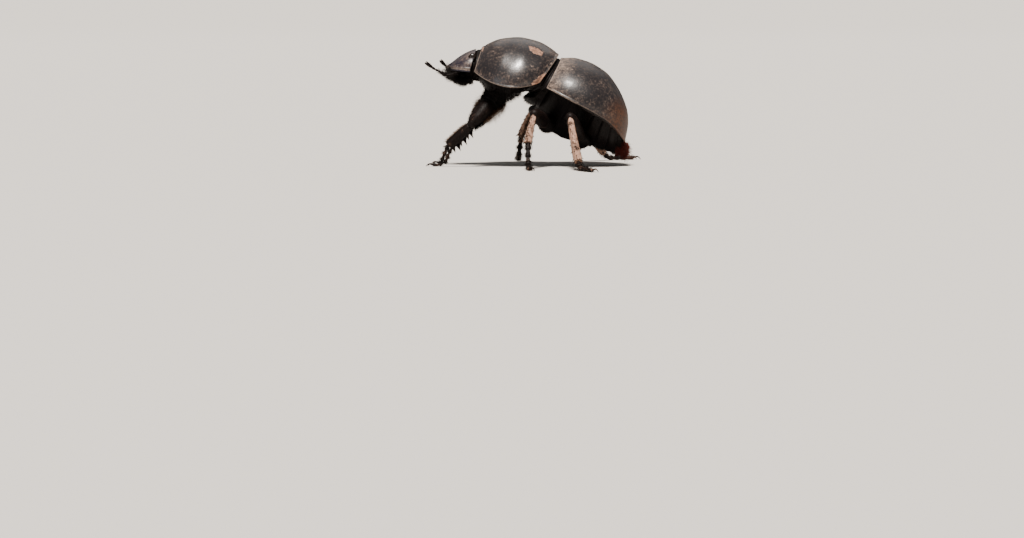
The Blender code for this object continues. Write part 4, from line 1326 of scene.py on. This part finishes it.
def coat(name, shapes, count, along, around, length, girth, lean, bend, ruffle=0.16,
         paint=black_hair, slot="underside"):
    """Scatters hairs over ranges of s and t. length is a number or a function of s, lean tips the hairs along
    s, bend is the droop of their tips, and ruffle is how unevenly they stand."""
    shapes = shapes if isinstance(shapes, list) else [shapes]
    share = int(count * DENSITY) // len(shapes)
    gathered = []
    for shape in shapes:
        s, t = spread(share, *along), np.mod(spread(share, *around), 1)
        roots, normals, forward = on_skin(shape, s, t)
        centre = shape(np.full(1, 0.5), np.linspace(0, 1, 40)[:, None]).reshape(-1, 3).mean(axis=0)
        outward = np.sign(((roots - centre) * normals).sum(axis=1).mean())
        gathered.append((roots, normals * outward + forward * lean, s, t))
    roots, ways, s, t = (np.concatenate(part) for part in zip(*gathered))
    ways = ways + chance.normal(0, ruffle, roots.shape)
    lengths = (length(s) if callable(length) else length) * chance.uniform(0.55, 1.15, len(s))
    bends = np.array(bend, float) + chance.normal(0, 0.08, roots.shape)
    piece = hairs(name, roots - unit(ways) * 0.05, ways, lengths, girth, bends, np.stack([s, t], axis=1))
    settle(piece, paint, slot)


def chest_length(s):
    return lerp(0.3, 0.85, ramp(s, 0.15, 0.4))


def fringe_length(s):
    return lerp(2.1, 0.8, ramp(s, 0.05, 0.6))


# %% Hair of the body
coat("neck_hair", neck_shape, 1500, (0.1, 0.8), (0.5, 1.0), 0.45, 0.03, -0.2, (0, 0, -0.1))
for name, *hair in (
    ("mouth_hair", 3200, (0.02, 0.98), (0.5, 1.0), 1.1, 0.03, -0.25, (0, 0, -0.2)),
    ("mouth_fringe", 1200, (0.0, 0.45), (0.42, 1.08), 1.9, 0.03, -0.9, (-0.2, 0, 0.1)),
    ("mouth_rear_fringe", 1500, (0.8, 0.99), (0.42, 1.08), 1.35, 0.03, 1.3, (0, 0, -0.15), 0.25),
):
    coat(name, mouth_shape, *hair, slot="feeler")
for name, paint, shape, *hair in (
    ("tail_brush", rust_hair, tail_shape, 1300, (0.1, 0.95), (0, 0.75), 0.85, 0.03, 0.2,
     (0.1, 0, -0.2), 0.55),
    ("tail_bristles", rust_hair, tail_shape, 320, (0.1, 0.95), (0, 0.75), 1.5, 0.026, 0.5,
     (0.1, 0, -0.4), 0.5),
    ("belly_tip_hair", rust_hair, belly_shape, 1300, (0.8, 0.99), (0.2, 0.6), 0.9, 0.028, 0.7,
     (0.1, 0, -0.1), 0.4),
    ("belly_tip_bristles", black_hair, belly_shape, 900, (0.74, 0.99), (0.06, 0.72), 0.7, 0.028, 0.9,
     (0.1, 0, -0.1), 0.4),
):
    coat(name, shape, *hair, paint=paint)
coat("chest_hair", chest_shape, 1400, (0.03, 0.8), (0.02, 0.36), chest_length, 0.03, 0.2, (0, 0, -0.3))
coat("chest_hair_right", chest_shape, 1400, (0.03, 0.8), (0.39, 0.73), chest_length, 0.03, 0.2, (0, 0, -0.3))
for name, stem in feeler_stems.items():
    coat("feeler_hair_" + name, stem, 480, (0.03, 0.97), (0, 1), 0.6, 0.02, 0.8, (0, 0, -0.05), slot="feeler")
coat("belly_down", belly_shape, 1200, (0.15, 0.8), (0.05, 0.73), 0.35, 0.02, 1.2, (0, 0, -0.1))
coat("waist_down", waist_shape, 900, (0.1, 0.98), (0.5, 1.0), 0.45, 0.024, 0.3, (0, 0, -0.2))
coat("breast_down", breast_shape, 900, (0.1, 0.95), (0.03, 0.75), 0.45, 0.02, 1.0, (0, 0, -0.1))

# %% Hair of the legs
FRONT_LEG_HAIR = (
    ("thigh_fringe_", "thigh", brown_hair, 500, (0.05, 0.6), (0.66, 0.84), fringe_length, 0.02, 0.8,
     (0, 0, -0.2)),
    ("thigh_fringe_inner_", "thigh", black_hair, 600, (0.05, 0.9), (0.7, 0.8), 0.9, 0.03, 0.6, (0, 0, -0.1)),
    ("hip_hair_", "hip", black_hair, 1200, (0.35, 0.95), (0, 1), 0.8, 0.028, 0.8, (0, 0, -0.2)),
    ("hip_fringe_", "hip", brown_hair, 420, (0.4, 0.95), (0.1, 0.4), 1.7, 0.02, 0.7, (0.2, 0, -0.2)),
    ("thigh_hair_", "thigh", black_hair, 1100, (0.08, 0.92), (0, 1), 0.5, 0.024, 1.1, (0, 0, -0.05)),
)
WALKING_LEG_HAIR = (
    ("hip_hair_", "hip", black_hair, 600, (0.2, 0.95), (0, 1), 0.4, 0.022, 0.8, (0, 0, -0.1)),
    ("thigh_hair_", "thigh", black_hair, 420, (0.08, 0.92), (0, 1), 0.5, 0.024, 1.1, (0, 0, -0.05)),
)
SHANK_AND_FOOT_HAIR = (
    ("shank_hair_", "shank", black_hair, 420, (0.08, 0.97), (0, 1), 0.42, 0.018, 1.3, (0, 0, 0)),
    ("shank_comb_", "shank", brown_hair, 240, (0.1, 0.95), (0.42, 0.58), 0.7, 0.02, 0.9, (0, 0, 0)),
    ("foot_hair_", "foot", black_hair, 420, (0.4, 0.95), (0, 1), 0.6, 0.022, 1.0, (0, 0, 0)),
)
for leg in LEGS:
    front = leg.startswith("front")
    shapes = {
        "hip": hip_shape(leg),
        "thigh": thigh_shape(leg),
        "shank": front_shank_shape(leg) if front else walking_shank_shape(leg),
        "foot": foot_joint_shapes(leg),
    }
    for name, piece, paint, *hair in (FRONT_LEG_HAIR if front else WALKING_LEG_HAIR) + SHANK_AND_FOOT_HAIR:
        coat(name + leg, shapes[piece], *hair, paint=paint, slot="leg")

# %% [markdown]

# ## Floor, light and camera
#
# The floor is pale and plain. A sun lamp with a wide disc stands high and a little towards the viewer. It
# lights the floor evenly, and the shield and the wing cases each carry one soft highlight. A weak lamp
# behind gives a faint rim, and a weak lamp at the side and a pale sky fill the shadows.

# %% Stage
deselect_all()
bpy.ops.mesh.primitive_circle_add(vertices=96, radius=20.0, fill_type="NGON", location=(0, 0, 0))
floor = bpy.context.object
floor.name = "floor"
floor_paint = Paint("pale_floor", roughness=0.9, specular=0.2)
floor_paint.set("Base Color", rgb(0.45, 0.43, 0.405))
floor.data.materials.append(floor_paint.material)

world = bpy.data.worlds.new("pale_sky")
bpy.context.scene.world = world
world.use_nodes = True
world.node_tree.nodes["Background"].inputs["Color"].default_value = rgb(0.82, 0.80, 0.79)
world.node_tree.nodes["Background"].inputs["Strength"].default_value = 0.17


def lamp(data, place, colour):
    data.color = colour
    light = bpy.data.objects.new(data.name, data)
    light.location = place
    light.rotation_euler = (Vector((0, 0, 0.012)) - Vector(place)).to_track_quat("-Z", "Y").to_euler()
    bpy.context.scene.collection.objects.link(light)


def soft_lamp(name, place, size, power, colour):
    data = bpy.data.lights.new(name, "AREA")
    data.shape, data.size, data.energy = "DISK", size, power
    lamp(data, place, colour)


high_light = bpy.data.lights.new("high_light", "SUN")
high_light.energy, high_light.angle = 12.0, math.radians(11.5)
lamp(high_light, (-0.045, -0.28, 0.70), (1, 0.94, 0.87))
soft_lamp("back_light", (0.2, 1.7, 1.5), 1.6, 4.0, (1, 0.98, 0.95))
soft_lamp("side_fill", (-0.7, -0.5, 0.25), 0.5, 1.0, (0.95, 0.97, 1))

# %% Camera
DISTANCE, ELEVATION = 0.75, math.radians(1.6)
VIEW_WIDTH, ASIDE, DROP, HEIGHT = 194.56, -2.47, 32.11, 12.5
middle = Vector((ASIDE, 0, HEIGHT)) + SHIFT
middle.y = 0
camera_data = bpy.data.cameras.new("camera")
camera_data.sensor_width = 36
camera_data.lens = 36 * DISTANCE / (VIEW_WIDTH * MM)
camera = bpy.data.objects.new("camera", camera_data)
camera.location = middle * MM + Vector((0, -DISTANCE * math.cos(ELEVATION), DISTANCE * math.sin(ELEVATION)))
camera.rotation_euler = (math.pi / 2 - ELEVATION - math.atan(DROP * MM / DISTANCE), 0, 0)
bpy.context.scene.collection.objects.link(camera)
bpy.context.scene.camera = camera
print("camera height, mm:", round(camera.location.z / MM, 1))
